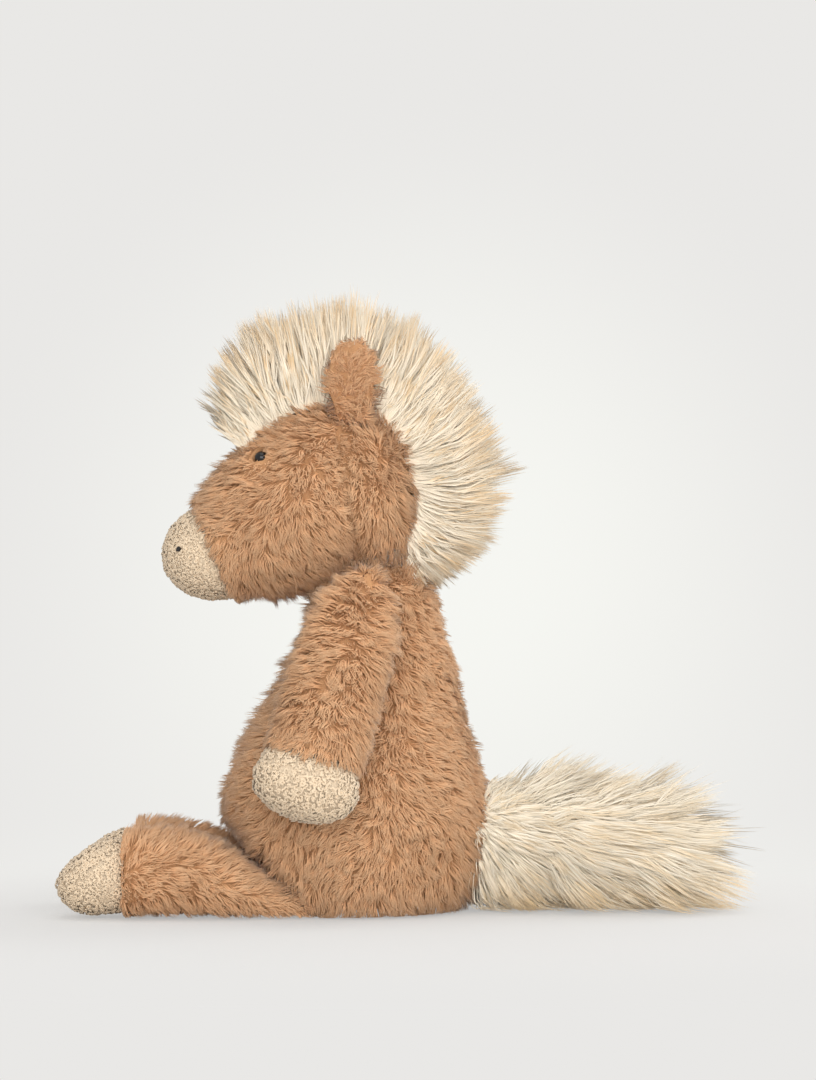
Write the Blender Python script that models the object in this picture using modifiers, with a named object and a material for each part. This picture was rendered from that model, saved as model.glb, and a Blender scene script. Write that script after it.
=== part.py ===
"""A plush horse that sits on the floor, as the sewn and stuffed pieces that it is made of.

The horse faces -X, its left side is towards -Y, and its seat lies on z = 0. Each stuffed
piece starts as one bag form. Its fabric is a wall that grows outwards from the bag by the
height of its pile, and its stuffing fills the bag just inside. What moves hangs on an
empty that stands on its joint's axis.
"""

import math

import bmesh
import bpy
import numpy as np
from mathutils import Vector
from mathutils.bvhtree import BVHTree

# Clearances
GAP = 0.0003                      # between pieces sewn or laid together
RUNNING_GAP = 0.0005              # between faces that turn against each other
CUT_OVERRUN = 0.004               # how far a cutter runs past what it cuts

# Fabrics: wall of each, from the backing's inner face to the mean height of its pile
BODY_PILE = 0.009
HEAD_PILE = 0.008
LIMB_PILE = 0.007
SEAM_PILE = 0.0027                # limb fur where it is trimmed for a seam
BOUCLE_PILE = 0.0035
BACKING = 0.001                   # the woven backing alone

# Torso: a leaning pear under a ball-shaped neck
NECK_HEIGHT = 0.160               # height of the neck ball's centre
NECK_X = -0.014
NECK_RADIUS = 0.036
NECK_OPENING_RADIUS = 0.018
WAD_THICKNESS = 0.0055
BELLY_RADIUS = 0.0737
BELLY_X = -0.0267
LEAN_TOP_SHARE = 0.984            # share of the neck height where the lean ends
LEAN_FOOT_SHARE = 0.40            # and where it starts
SEAT_DISH = 0.0004                # the seat's inner face rises by this from ring to ring
TORSO_FLATNESS_SHARE = 0.82       # width of the belly over its depth
FLAT_TOP_SHARE = 0.98
FLAT_FOOT_SHARE = 0.60
DOME_START_ELEVATION = math.radians(-4)
PLUG_END_ELEVATION = math.radians(84) # last ring of the stuffing in the neck opening
# height over the neck height, radius over the belly radius
TORSO_SHARES = (
    (0.00, 0.70), (0.02, 0.79), (0.09, 0.90), (0.20, 0.975), (0.33, 1.00), (0.46, 0.945),
    (0.60, 0.83), (0.75, 0.695), (0.88, 0.59),
)

# Bean pouch in the seat
POUCH_RADIUS = 0.029
POUCH_HEIGHT = 0.024
POUCH_X = -0.008
# radius over the pouch radius, height over the pouch height
POUCH_SHARES = ((0.0, 1.00), (0.45, 0.97), (0.80, 0.80), (1.00, 0.45), (0.98, 0.15), (0.88, 0.0), (0.0, 0.0))

# Legs: pinched flat at the hip seam under the belly
HIP_X = -0.056
HIP_SIDE = 0.035                  # distance of the hip seam's middle from the middle plane
HIP_ROOT_RADIUS = 0.0043          # half the thickness of the pinched seam
FLOOR_GAP = 0.0004                # fur that lies on the floor, above the seat's plane
LEG_LENGTH = 0.1257
LEG_RADIUS = 0.0158               # of the stuffed bag
LEG_SPLAY = 0.005                 # how much further out the hoof lies than the hip
LEG_FOLD_ANGLE = math.radians(41) # slope of the belly over the folded leg
BELLY_CUT_BLEND = 0.007
# reach over the leg's length, half height and half width over its radius, pile over the limb's pile
LEG_SHARES = (
    (-0.007, 0.065, 0.66, 0.386), (0.005, 0.094, 0.80, 0.386), (0.06, 0.165, 0.86, 0.50),
    (0.15, 0.31, 0.92, 0.68), (0.26, 0.53, 0.96, 0.88), (0.375, 0.79, 1.00, 1.00),
    (0.49, 0.95, 1.01, 1.00), (0.62, 1.00, 1.00, 1.00), (0.74, 0.97, 1.00, 1.00),
    (0.80, 1.00, 1.10, 1.00), (0.87, 0.91, 1.08, 1.00), (0.93, 0.67, 0.86, 1.00), (0.97, 0.38, 0.52, 1.00),
)
LEG_SEAM_RING = 8
HOOF_DROP = 0.0027                # how far the hoof's tip lies under its middle

# Arms: they hang from a small round seam on each side of the neck
SHOULDER_LEAD = 0.006             # of the shoulder's axis ahead of the neck ball's centre
SHOULDER_RISE = 0.017             # and over it
SHOULDER_SIDE = 0.028             # the flat that the arm is sewn to, from the middle plane
SHOULDER_SEAM_RADIUS = 0.009
SHOULDER_BOSS_REACH = 0.0042      # how far the boss runs past the clear side, into the fur's wall
ARM_HANG_ANGLE = math.radians(16.3)
ARM_LENGTH = 0.124
ARM_RADIUS = 0.0175
ARM_CLEAR_SIDE = 0.0345           # where the arm's inner side would meet the shoulder's axis
ARM_CLEAR_SLOPE = math.tan(math.radians(13.5))
# reach over the arm's length, half width and half thickness over its radius, pile over the limb's pile
ARM_SHARES = (
    (-0.065, 0.20, 0.08, 0.40), (0.00, 0.52, 0.14, 0.72), (0.09, 0.72, 0.36, 0.90),
    (0.20, 0.88, 0.60, 1.00), (0.34, 0.97, 0.72, 1.00), (0.48, 1.02, 0.76, 1.00),
    (0.62, 1.03, 0.78, 1.00), (0.745, 1.06, 0.82, 1.00), (0.80, 1.24, 0.92, 1.00),
    (0.87, 1.40, 0.98, 1.00), (0.93, 1.26, 0.86, 1.00), (0.975, 0.80, 0.52, 1.00),
)
ARM_SEAM_RING = 7

# Head: an egg on a bent spine, with the muzzle drawn out down and forwards
HEAD_LENGTH = 0.137
HEAD_HEIGHT = 0.109
HEAD_WIDTH = 0.088
CROWN_NARROWING_SHARE = 0.10
# spine place along and up from the neck ball's centre, over the head's length and height,
# tilt of the ring in degrees, half height over the head's height, half width over its width
HEAD_SHARES = (
    (-0.806, 0.267, 22, 0.082, 0.125), (-0.766, 0.285, 22, 0.147, 0.205),
    (-0.708, 0.310, 22, 0.191, 0.262), (-0.640, 0.342, 21, 0.210, 0.284),
    (-0.562, 0.418, 18, 0.250, 0.305), (-0.470, 0.486, 14, 0.315, 0.350),
    (-0.328, 0.569, 8, 0.362, 0.390), (-0.200, 0.632, 2, 0.378, 0.410),
    (-0.088, 0.655, -6, 0.340, 0.390), (0.010, 0.595, -11, 0.268, 0.325),
    (0.066, 0.515, -8, 0.165, 0.215),
)
HEAD_NOSE_SHARE = (-0.826, 0.258)
HEAD_NAPE_SHARE = (0.092, 0.485)
MUZZLE_SEAM_RING = 6
HEAD_RINGS = 21

# Eyes: beads on shanks, each held by a washer inside the skin
EYE_SHARE = (-0.4745, 0.826)      # place along and up, as for the head's rings
EYE_RADIUS = 0.004
SHANK_RADIUS = 0.0015
SHANK_LENGTH = 0.0085             # from the skin's inner face inwards
WASHER_RADIUS = 0.005
WASHER_THICKNESS = 0.0015
WASHER_SEAT = 0.0009              # the skin curves, so the flat washer lies this far under it

# Nostrils: short stitches of thread
NOSTRIL_SHARE = (-0.779, 0.344)   # place along and up, as for the head's rings
NOSTRIL_LENGTH = 0.0019           # half lengths of the stitch
NOSTRIL_HEIGHT = 0.0014
NOSTRIL_DEPTH = 0.0010

# Ears: a leaf of two panels, rounded at the base so that it can fold
EAR_SHARE = (-0.0985, 1.0)        # place along and up, as for the head's rings
EAR_HEIGHT = 0.044
EAR_WIDTH = 0.027
EAR_THICKNESS = 0.008
EAR_SINK = 0.0002                 # depth of the fold line in the head's pile
EAR_SEAT_GAP = 0.0008             # round the ear's foot in the head's fur
EAR_TILT = math.radians(15)
# reach over the ear's height, half width over its width, half thickness over its thickness
EAR_SHARES = (
    (-0.075, 0.26, 0.24), (0.00, 0.31, 0.46), (0.16, 0.39, 0.38), (0.38, 0.49, 0.48),
    (0.60, 0.50, 0.48), (0.80, 0.41, 0.40), (0.93, 0.26, 0.26),
)

# Mane: a strip along the crest with a fan of long pile on it
MANE_STRIP_WIDTH = 0.016
MANE_STRIP_THICKNESS = 0.0025
MANE_PILE = 0.054
MANE_THICKNESS = 0.037
# share of the way along the crest, hair's angle from +X in degrees, its length over the pile
MANE_HAIR_SHARES = (
    (0.00, 138, 0.50), (0.10, 122, 0.86), (0.22, 108, 1.00), (0.36, 97, 1.00), (0.50, 80, 1.00),
    (0.62, 60, 1.00), (0.74, 40, 1.00), (0.84, 20, 1.00), (0.93, 2, 0.94), (1.00, -14, 0.60),
)
# place along the hair and half thickness, over the hair's length and the mane's half thickness
MANE_OUTLINE_SHARES = ((0.0, 0.40), (0.22, 0.74), (0.52, 1.00), (0.80, 0.86), (0.95, 0.46))
MANE_FRONT_SHARE = -0.504         # the crest runs from this place along the head, on the forehead
MANE_NAPE_DROP = 0.009            # and ends this far under the head's hindmost point
MANE_NAPE_TUCK = 0.0015           # drawn in by this much there

# Tail: a rolled strip in a brush of long pile that lies on the floor
TAIL_Z = 0.045
TAIL_ROOT_RADIUS = 0.0065         # the strip's knotted end, which turns against the torso
TAIL_LENGTH = 0.1362
TAIL_HEIGHT = 0.072
TAIL_WIDTH = 0.066
TAIL_CORE_RADIUS = 0.005
TAIL_CORE_TIP_RADIUS = 0.0035
TAIL_CORE_LENGTH = 0.074
TAIL_CORE_SLOPE = math.radians(9)
TAIL_REST_SHARE = 0.31            # share of its length from which the brush lies on the floor
TAIL_TIP_LIFT = 0.004             # how far the tip's underside has risen off the floor
# reach over the tail's length, half height over its height, half width over its width
TAIL_SHARES = (
    (-0.040, 0.050, 0.055), (-0.011, 0.105, 0.115), (0.033, 0.140, 0.150),
    (0.092, 0.275, 0.240), (0.175, 0.440, 0.370), (0.283, 0.500, 0.440),
    (0.431, 0.504, 0.490), (0.598, 0.497, 0.500), (0.764, 0.432, 0.450),
    (0.892, 0.330, 0.340), (0.966, 0.200, 0.200),
)

# Facets round each form, and rings along it
TORSO_SIDES = 28
TORSO_RINGS = 13
DOME_RINGS = 5
HEAD_SIDES = 24
LIMB_SIDES = 16
STUFFING_SIDES_SHARE = 2          # a skin has this many facets for each one of its stuffing
EAR_SIDES = 12
BALL_SIDES = 40
SEAM_SIDES = 24
SMALL_SIDES = 16
SHARP_ANGLE = math.radians(40)    # edges over this angle are shaded sharp
MERGE_DISTANCE = 0.00001

# Colours from the photograph: colour, roughness
CARAMEL = ((0.60, 0.36, 0.19, 1), 0.9)
CREAM_BOUCLE = ((0.76, 0.62, 0.43, 1), 0.95)
CREAM_PILE = ((0.86, 0.76, 0.57, 1), 0.8)
FIBRE = ((0.90, 0.90, 0.88, 1), 0.9)
POUCH_CLOTH = ((0.80, 0.78, 0.72, 1), 0.9)
WEBBING = ((0.72, 0.60, 0.42, 1), 0.9)
BLACK_BEAD = ((0.01, 0.01, 0.01, 1), 0.1)
BLACK_THREAD = ((0.02, 0.018, 0.016, 1), 0.7)
CLEAR_PLASTIC = ((0.75, 0.75, 0.72, 1), 0.4)


class Form:
    """Rings of points, all with as many points, and a tip at either end or None."""

    def __init__(self, rings, start=None, end=None):
        self.rings = np.asarray(rings, float)
        self.start = start
        self.end = end

    def outwards(self):
        """Unit normals of the rings' points: the slope along the form crossed with the one around it."""
        first = self.rings[:1] if self.start is None else np.broadcast_to(self.start, self.rings[:1].shape)
        last = self.rings[-1:] if self.end is None else np.broadcast_to(self.end, self.rings[:1].shape)
        run = np.concatenate([first, self.rings, last])
        along = run[2:] - run[:-2]
        around = np.roll(self.rings, -1, axis=1) - np.roll(self.rings, 1, axis=1)
        normals = np.cross(around, along)
        normals /= np.linalg.norm(normals, axis=2, keepdims=True)
        from_middle = self.rings - self.rings.mean(axis=1, keepdims=True)
        return normals if (normals * from_middle).sum() > 0 else -normals

    def grown(self, distance):
        """The form with each point moved outwards, by one distance or by one for each ring."""
        steps = np.broadcast_to(distance, len(self.rings))
        rings = self.rings + self.outwards() * steps[:, None, None]
        tips = []
        for tip, ring, step in ((self.start, 0, steps[0]), (self.end, -1, steps[-1])):
            if tip is not None:
                way = np.asarray(tip) - self.rings[ring].mean(axis=0)
                tip = np.asarray(tip) + way / np.linalg.norm(way) * step
            tips.append(tip)
        return Form(rings, *tips)

    def stretch(self, first, last):
        """The rings from first to last, with a tip only where that end of the form has one."""
        start = self.start if first == 0 else None
        end = self.end if last == len(self.rings) - 1 else None
        return Form(self.rings[first:last + 1], start, end)

    def thinned(self, step):
        """The form with only every so-many-th point of each ring."""
        return Form(self.rings[:, ::step], self.start, self.end)

    def shifted_end(self, end, distance):
        """The form with its first or last ring (0 or -1) drawn back along the form by a distance."""
        rings = self.rings.copy()
        inner = 1 if end == 0 else -2
        way = rings[inner].mean(axis=0) - rings[end].mean(axis=0)
        rings[end] += way / np.linalg.norm(way) * distance
        return Form(rings, self.start, self.end)


def fair(stations, count):
    """Rows on a Catmull-Rom curve through the stations, spread evenly over the spans between them."""
    rows = np.asarray(stations, float)
    padded = np.vstack([2 * rows[0] - rows[1], rows, 2 * rows[-1] - rows[-2]])
    places = np.linspace(0, len(rows) - 1, count)
    spans = np.minimum(places.astype(int), len(rows) - 2)
    t = (places - spans)[:, None]
    a, b, c, d = (padded[spans + k] for k in range(4))
    return 0.5 * (2 * b + (c - a) * t + (2 * a - 5 * b + 4 * c - d) * t**2 + (3 * b - a - 3 * c + d) * t**3)


def smooth_step(value):
    """0 below zero, 1 above one, and an even S between."""
    t = np.clip(value, 0, 1)
    return t * t * (3 - 2 * t)


def ellipse(middle, up, across, half_height, half_width, sides, narrowing=0.0):
    """A ring round a middle, its first point at the top; narrowing draws the top in and the foot out."""
    turn = np.arange(sides) * math.tau / sides
    width = half_width * (1 - narrowing * np.cos(turn))
    return middle + np.outer(np.cos(turn) * half_height, up) + np.outer(np.sin(turn) * width, across)


def mesh_object(name, vertices, faces, finish):
    """A mesh object from points and faces, turned outwards, shaded smooth and given its finish."""
    mesh = bpy.data.meshes.new(name)
    mesh.from_pydata([tuple(map(float, v)) for v in vertices], [], [tuple(map(int, f)) for f in faces])
    shell = bmesh.new()
    shell.from_mesh(mesh)
    bmesh.ops.recalc_face_normals(shell, faces=shell.faces)
    shell.to_mesh(mesh)
    shell.free()
    mesh.shade_smooth()
    mesh.set_sharp_from_angle(angle=SHARP_ANGLE)
    thing = bpy.data.objects.new(name, mesh)
    add_part(thing, finish)
    return thing


def ring_faces(offset, rings, sides):
    """Quads between neighbouring rings whose points are stored ring by ring from an offset."""
    faces = []
    for ring in range(rings - 1):
        for side in range(sides):
            low = offset + ring * sides + side
            low_next = offset + ring * sides + (side + 1) % sides
            faces.append((low, low_next, low_next + sides, low + sides))
    return faces


def rim_faces(first, second, sides):
    """Quads between two rings given by the number of their first point."""
    return [
        (first + side, first + (side + 1) % sides, second + (side + 1) % sides, second + side)
        for side in range(sides)
    ]


def tip_faces(ring, tip, sides):
    """Triangles from a ring to a tip."""
    return [(ring + side, ring + (side + 1) % sides, tip) for side in range(sides)]


def filled(name, form, finish):
    """A closed solid whose surface is the form; an end without a tip gets a flat cap."""
    count, sides = form.rings.shape[:2]
    vertices = list(form.rings.reshape(-1, 3))
    faces = ring_faces(0, count, sides)
    for tip, ring in ((form.start, 0), (form.end, (count - 1) * sides)):
        if tip is None:
            faces.append(tuple(range(ring, ring + sides)))
        else:
            faces += tip_faces(ring, len(vertices), sides)
            vertices.append(tip)
    return mesh_object(name, vertices, faces, finish)


def walled(name, inner, outer, finish):
    """A fabric wall between two forms with the same rings: closed at a tip, rimmed at an open end."""
    count, sides = inner.rings.shape[:2]
    vertices = list(inner.rings.reshape(-1, 3)) + list(outer.rings.reshape(-1, 3))
    half = count * sides
    faces = ring_faces(0, count, sides) + ring_faces(half, count, sides)
    for inner_tip, outer_tip, ring in (
        (inner.start, outer.start, 0), (inner.end, outer.end, (count - 1) * sides),
    ):
        if inner_tip is None:
            faces += rim_faces(ring, half + ring, sides)
        else:
            for tip, base in ((inner_tip, ring), (outer_tip, half + ring)):
                faces += tip_faces(base, len(vertices), sides)
                vertices.append(tip)
    return mesh_object(name, vertices, faces, finish)


def add_part(thing, finish):
    """Links an object to the horse's collection, with a Principled material of its own."""
    horse.objects.link(thing)
    colour, roughness = finish
    material = bpy.data.materials.new(thing.name)
    material.use_nodes = True
    principled = material.node_tree.nodes["Principled BSDF"]
    principled.inputs["Base Color"].default_value = colour
    principled.inputs["Roughness"].default_value = roughness
    principled.inputs["Metallic"].default_value = 0
    thing.data.materials.clear()
    thing.data.materials.append(material)


def as_part(name, finish):
    """Names the object that a primitive operator has just made and takes it into the horse."""
    thing = bpy.context.object
    thing.name = name
    thing.data.name = name
    for collection in list(thing.users_collection):
        collection.objects.unlink(thing)
    add_part(thing, finish)
    thing.data.shade_smooth()
    thing.data.set_sharp_from_angle(angle=SHARP_ANGLE)
    return thing


def as_cutter(name):
    """Takes the object that a primitive operator has just made into the cutters, unseen in renders."""
    thing = bpy.context.object
    thing.name = name
    for collection in list(thing.users_collection):
        collection.objects.unlink(thing)
    cutters.objects.link(thing)
    hide(thing)
    return thing


def hide(cutter):
    """Shows a cutter as wires and keeps it out of renders."""
    cutter.hide_render = True
    cutter.display_type = "WIRE"


def cut(thing, cutter, operation="DIFFERENCE"):
    """Cuts a part with a cutter, or joins the cutter to it."""
    boolean = thing.modifiers.new(cutter.name, "BOOLEAN")
    boolean.operation = operation
    boolean.object = cutter


def cylinder(point, axis, radius, length, sides=SMALL_SIDES):
    """Adds a cylinder that starts at a point and runs along an axis."""
    axis = Vector(axis).normalized()
    bpy.ops.mesh.primitive_cylinder_add(
        vertices=sides, radius=radius, depth=length,
        location=Vector(point) + axis * (length / 2),
        rotation=axis.to_track_quat("Z", "Y").to_euler(),
    )


def turned(name, profile, middle, sides):
    """A solid turned round a vertical axis from a profile of radii and heights, read from the top down."""
    mesh = bpy.data.meshes.new(name)
    mesh.from_pydata([(radius, 0, height) for radius, height in profile], [
        (k, k + 1) for k in range(len(profile) - 1)
    ], [])
    thing = bpy.data.objects.new(name, mesh)
    thing.location = middle
    screw = thing.modifiers.new("turn", "SCREW")
    screw.steps = sides
    screw.render_steps = sides
    screw.use_merge_vertices = True
    screw.merge_threshold = MERGE_DISTANCE
    return thing


def touched(tree, point, way):
    """Where a straight line first meets a surface, and the surface's outward direction there."""
    place, normal, _, _ = tree.ray_cast(Vector(point), Vector(way))
    return place, (normal if normal.dot(Vector(way)) < 0 else -normal)


def surface_tree(form):
    """A search tree of a form's rings for finding points on it."""
    count, sides = form.rings.shape[:2]
    return BVHTree.FromPolygons(
        [Vector(v) for v in form.rings.reshape(-1, 3)], ring_faces(0, count, sides)
    )


def pivot(name, point, parent=None):
    """An empty on a joint's axis; its place is given in the world."""
    empty = bpy.data.objects.new(name, None)
    empty.empty_display_size = GAP
    horse.objects.link(empty)
    empty.parent = parent
    empty.location = Vector(point) - (world_place(parent) if parent else Vector())
    return empty


def world_place(empty):
    """The world place of an empty that only other unturned empties carry."""
    place = empty.location.copy()
    while empty.parent:
        empty = empty.parent
        place += empty.location
    return place


def hang(empty, *things):
    """Hangs parts on an empty without moving them."""
    place = world_place(empty)
    for thing in things:
        thing.parent = empty
        thing.location = thing.location - place


def lean(heights):
    """How far the torso's middle lies along X at each height."""
    top = NECK_HEIGHT * LEAN_TOP_SHARE
    foot = NECK_HEIGHT * LEAN_FOOT_SHARE
    return NECK_X + (BELLY_X - NECK_X) * smooth_step((top - heights) / (top - foot))


def flatness(heights):
    """The torso's width over its depth at each height: round at the neck, flatter at the belly."""
    top = NECK_HEIGHT * FLAT_TOP_SHARE
    foot = NECK_HEIGHT * FLAT_FOOT_SHARE
    return 1 - (1 - TORSO_FLATNESS_SHARE) * smooth_step((top - heights) / (top - foot))


def hip_height():
    """Height of the hip's axis, with the pinched seam just over the floor."""
    return FLOOR_GAP + HIP_ROOT_RADIUS


def torso_form(profile, inset):
    """The turned profile leaned, flattened and cut back over the legs.

    In front of the hip the belly ends on a plane that slopes up and forwards from the hip's axis,
    clear of the leg's root. A point's distance over that plane is replaced by a value that fades
    into zero, so that the belly turns into the slope on a round edge.
    """
    radii, heights = np.asarray(profile).T
    turn = np.arange(TORSO_SIDES) * math.tau / TORSO_SIDES
    x = lean(heights)[:, None] + np.outer(radii, np.cos(turn))
    y = np.outer(radii * flatness(heights), np.sin(turn))
    z = np.repeat(heights[:, None], TORSO_SIDES, axis=1)
    rise = z - hip_height()
    clear = HIP_ROOT_RADIUS + RUNNING_GAP + inset
    plane_x = HIP_X + (clear - rise * math.cos(LEG_FOLD_ANGLE)) / math.sin(LEG_FOLD_ANGLE)
    over = x - plane_x
    blended = np.where(
        over < BELLY_CUT_BLEND, np.maximum(over + BELLY_CUT_BLEND, 0) ** 2 / (4 * BELLY_CUT_BLEND), over
    )
    x = plane_x + blended
    rings = np.stack([x, y, z], axis=2)
    start = np.array([rings[0, :, 0].mean(), 0, heights[0]])
    return rings, start


def shoulder_place(side):
    """Middle of the arm's seam, on the shoulder's axis."""
    return np.array([NECK_X - SHOULDER_LEAD, side * SHOULDER_SIDE, NECK_HEIGHT + SHOULDER_RISE])


def dome_arc(radius, first, last, count):
    """Radii and heights on the neck ball between two elevations."""
    angles = np.linspace(first, last, count)
    return np.stack([radius * np.cos(angles), NECK_HEIGHT + radius * np.sin(angles)], axis=1)


def torso_profiles():
    """Outer and inner profile of the torso's fabric, from the seat up to the neck opening."""
    opening = math.acos(NECK_OPENING_RADIUS / NECK_RADIUS)
    shares = fair(TORSO_SHARES, TORSO_RINGS)
    belly = np.stack([shares[:, 1] * BELLY_RADIUS, shares[:, 0] * NECK_HEIGHT], axis=1)
    outer = np.vstack([belly, dome_arc(NECK_RADIUS, DOME_START_ELEVATION, opening, DOME_RINGS)])
    slope = np.gradient(outer, axis=0)
    out = np.stack([slope[:, 1], -slope[:, 0]], axis=1)
    out /= np.linalg.norm(out, axis=1, keepdims=True)
    inner = outer - out * BODY_PILE
    dome = len(belly)
    inner[dome:] = dome_arc(NECK_RADIUS - BODY_PILE, DOME_START_ELEVATION, opening, DOME_RINGS)
    inner[:, 1] = np.maximum(inner[:, 1], BODY_PILE + SEAT_DISH * np.arange(len(inner)))
    return outer, inner, opening


def make_torso():
    """Torso skin with its neck opening and arm seats, the stuffing with its neck plug, and the pouch."""
    outer, inner, opening = torso_profiles()
    inner_rings, inner_seat = torso_form(inner, BODY_PILE)
    outer_rings, outer_seat = torso_form(outer, 0)
    skin = walled("torso_skin", Form(inner_rings, inner_seat), Form(outer_rings, outer_seat), CARAMEL)

    slope = np.gradient(inner, axis=0)
    out = np.stack([slope[:, 1], -slope[:, 0]], axis=1)
    out /= np.linalg.norm(out, axis=1, keepdims=True)
    fill = inner - out * GAP
    fill[:, 1] = np.maximum(fill[:, 1], BODY_PILE + GAP + SEAT_DISH * np.arange(len(fill)))
    plug_start = opening + GAP / (NECK_RADIUS - BODY_PILE)
    plug = dome_arc(NECK_RADIUS, plug_start, PLUG_END_ELEVATION, DOME_RINGS)
    fill_rings, fill_seat = torso_form(np.vstack([fill, plug]), BODY_PILE + GAP)
    crown = np.array([NECK_X, 0, NECK_HEIGHT + NECK_RADIUS])
    fill_form = Form(fill_rings, fill_seat, crown).thinned(STUFFING_SIDES_SHARE)
    stuffing = filled("torso_stuffing", fill_form, FIBRE)

    floor = BODY_PILE + GAP
    pouch = turned(
        "bean_pouch", [(r * POUCH_RADIUS, h * POUCH_HEIGHT) for r, h in POUCH_SHARES],
        (POUCH_X, 0, floor), SMALL_SIDES,
    )
    add_part(pouch, POUCH_CLOTH)
    grown = [
        (r * POUCH_RADIUS + (GAP if r else 0), h * POUCH_HEIGHT + GAP) for r, h in POUCH_SHARES[:-2]
    ]
    last_radius = grown[-1][0]
    recess = turned(
        "pouch_recess", grown + [(last_radius, -CUT_OVERRUN), (0, -CUT_OVERRUN)],
        (POUCH_X, 0, floor), SMALL_SIDES,
    )
    cutters.objects.link(recess)
    hide(recess)
    cut(stuffing, recess)

    for side, word in ((-1, "left"), (1, "right")):
        cylinder(
            shoulder_place(side), (0, side, 0), SHOULDER_SEAM_RADIUS + RUNNING_GAP,
            BODY_PILE + CUT_OVERRUN, SEAM_SIDES,
        )
        cut(skin, as_cutter(f"{word}_arm_seat"))


def make_limb(name, bag, piles, seam):
    """Fur skin up to the seam ring, boucle cap from it to the tip, and the stuffing that fills both."""
    last = len(bag.rings) - 1
    skin = walled(
        f"{name}_skin",
        bag.stretch(0, seam).shifted_end(-1, GAP),
        bag.grown(piles).stretch(0, seam).shifted_end(-1, GAP),
        CARAMEL,
    )
    cap = walled(
        f"{name}_hoof", bag.stretch(seam, last), bag.grown(BOUCLE_PILE).stretch(seam, last), CREAM_BOUCLE,
    )
    stuffing = filled(f"{name}_stuffing", bag.grown(-GAP).thinned(STUFFING_SIDES_SHARE), FIBRE)
    hang(bpy.data.objects[f"{name}_joint"], skin, cap, stuffing)
    return skin


def make_leg(side, word):
    """A leg that lies forwards on the floor, pinched to a flat root where it is sewn under the belly."""
    pivot(f"{word}_leg_joint", (HIP_X, side * HIP_SIDE, hip_height()))
    seam_reach = LEG_SHARES[LEG_SEAM_RING][0]
    rings = []
    for reach, height, width, pile in LEG_SHARES:
        half_height = height * LEG_RADIUS
        lie = FLOOR_GAP + half_height + pile * LIMB_PILE
        if reach > seam_reach:
            point = (reach - seam_reach) / (1 - seam_reach)
            resting = FLOOR_GAP + LEG_RADIUS + LIMB_PILE
            lie = resting - (LIMB_PILE - BOUCLE_PILE + HOOF_DROP) * smooth_step(point)
        middle = np.array([
            HIP_X - reach * LEG_LENGTH,
            side * (HIP_SIDE + LEG_SPLAY * max(reach, 0)),
            max(lie, hip_height()),
        ])
        rings.append(ellipse(middle, (0, 0, 1), (0, 1, 0), half_height, width * LEG_RADIUS, LIMB_SIDES))
    root = np.array([HIP_X + HIP_ROOT_RADIUS - SEAM_PILE, side * HIP_SIDE, hip_height()])
    tip = rings[-1].mean(axis=0)
    tip[0] = HIP_X - LEG_LENGTH
    piles = np.array([row[-1] for row in LEG_SHARES]) * LIMB_PILE
    make_limb(f"{word}_leg", Form(rings, root, tip), piles, LEG_SEAM_RING)


def make_arm(side, word):
    """An arm that hangs forwards and outwards, its inner side clear of the torso all the way round.

    The inner side of its fur lies on a cone about the shoulder's axis, so the arm can swing past
    the widening torso. A round boss runs from the arm's root to the flat that it is sewn to.
    """
    shoulder = shoulder_place(side)
    pivot(f"{word}_arm_joint", shoulder)
    down = np.array([-math.sin(ARM_HANG_ANGLE), 0, -math.cos(ARM_HANG_ANGLE)])
    forward = np.array([-math.cos(ARM_HANG_ANGLE), 0, math.sin(ARM_HANG_ANGLE)])
    outward = np.array([0, side, 0])
    rings = []
    for reach, width, thickness, pile in ARM_SHARES:
        run = reach * ARM_LENGTH
        half_thickness = thickness * ARM_RADIUS
        out = ARM_CLEAR_SIDE + ARM_CLEAR_SLOPE * abs(run) + pile * LIMB_PILE + half_thickness
        middle = shoulder + down * run + outward * (out - SHOULDER_SIDE)
        rings.append(ellipse(middle, forward, outward, width * ARM_RADIUS, half_thickness, LIMB_SIDES))
    root = rings[0].mean(axis=0) - down * SEAM_PILE
    tip = rings[-1].mean(axis=0)
    tip += down * (ARM_LENGTH - (tip - shoulder) @ down)
    piles = np.array([row[-1] for row in ARM_SHARES]) * LIMB_PILE
    skin = make_limb(f"{word}_arm", Form(rings, root, tip), piles, ARM_SEAM_RING)
    cylinder(
        shoulder + outward * GAP, outward, SHOULDER_SEAM_RADIUS,
        ARM_CLEAR_SIDE - SHOULDER_SIDE + SHOULDER_BOSS_REACH, SEAM_SIDES,
    )
    cut(skin, as_cutter(f"{word}_arm_seam_boss"), "UNION")


def head_place(along, up, side=0):
    """A place by its shares along and up the head, from the neck ball's centre, clear to one side."""
    return np.array([NECK_X + along * HEAD_LENGTH, side * HEAD_WIDTH, NECK_HEIGHT + up * HEAD_HEIGHT])


def head_bag():
    """The head's bag: rings along a bent spine from the nose to the nape."""
    rings = []
    for along, up, tilt, height, width in fair(HEAD_SHARES, HEAD_RINGS):
        lean_back = math.radians(tilt)
        rings.append(ellipse(
            head_place(along, up), (-math.sin(lean_back), 0, math.cos(lean_back)), (0, 1, 0),
            height * HEAD_HEIGHT, width * HEAD_WIDTH, HEAD_SIDES, CROWN_NARROWING_SHARE,
        ))
    return Form(rings, head_place(*HEAD_NOSE_SHARE), head_place(*HEAD_NAPE_SHARE))


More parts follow.
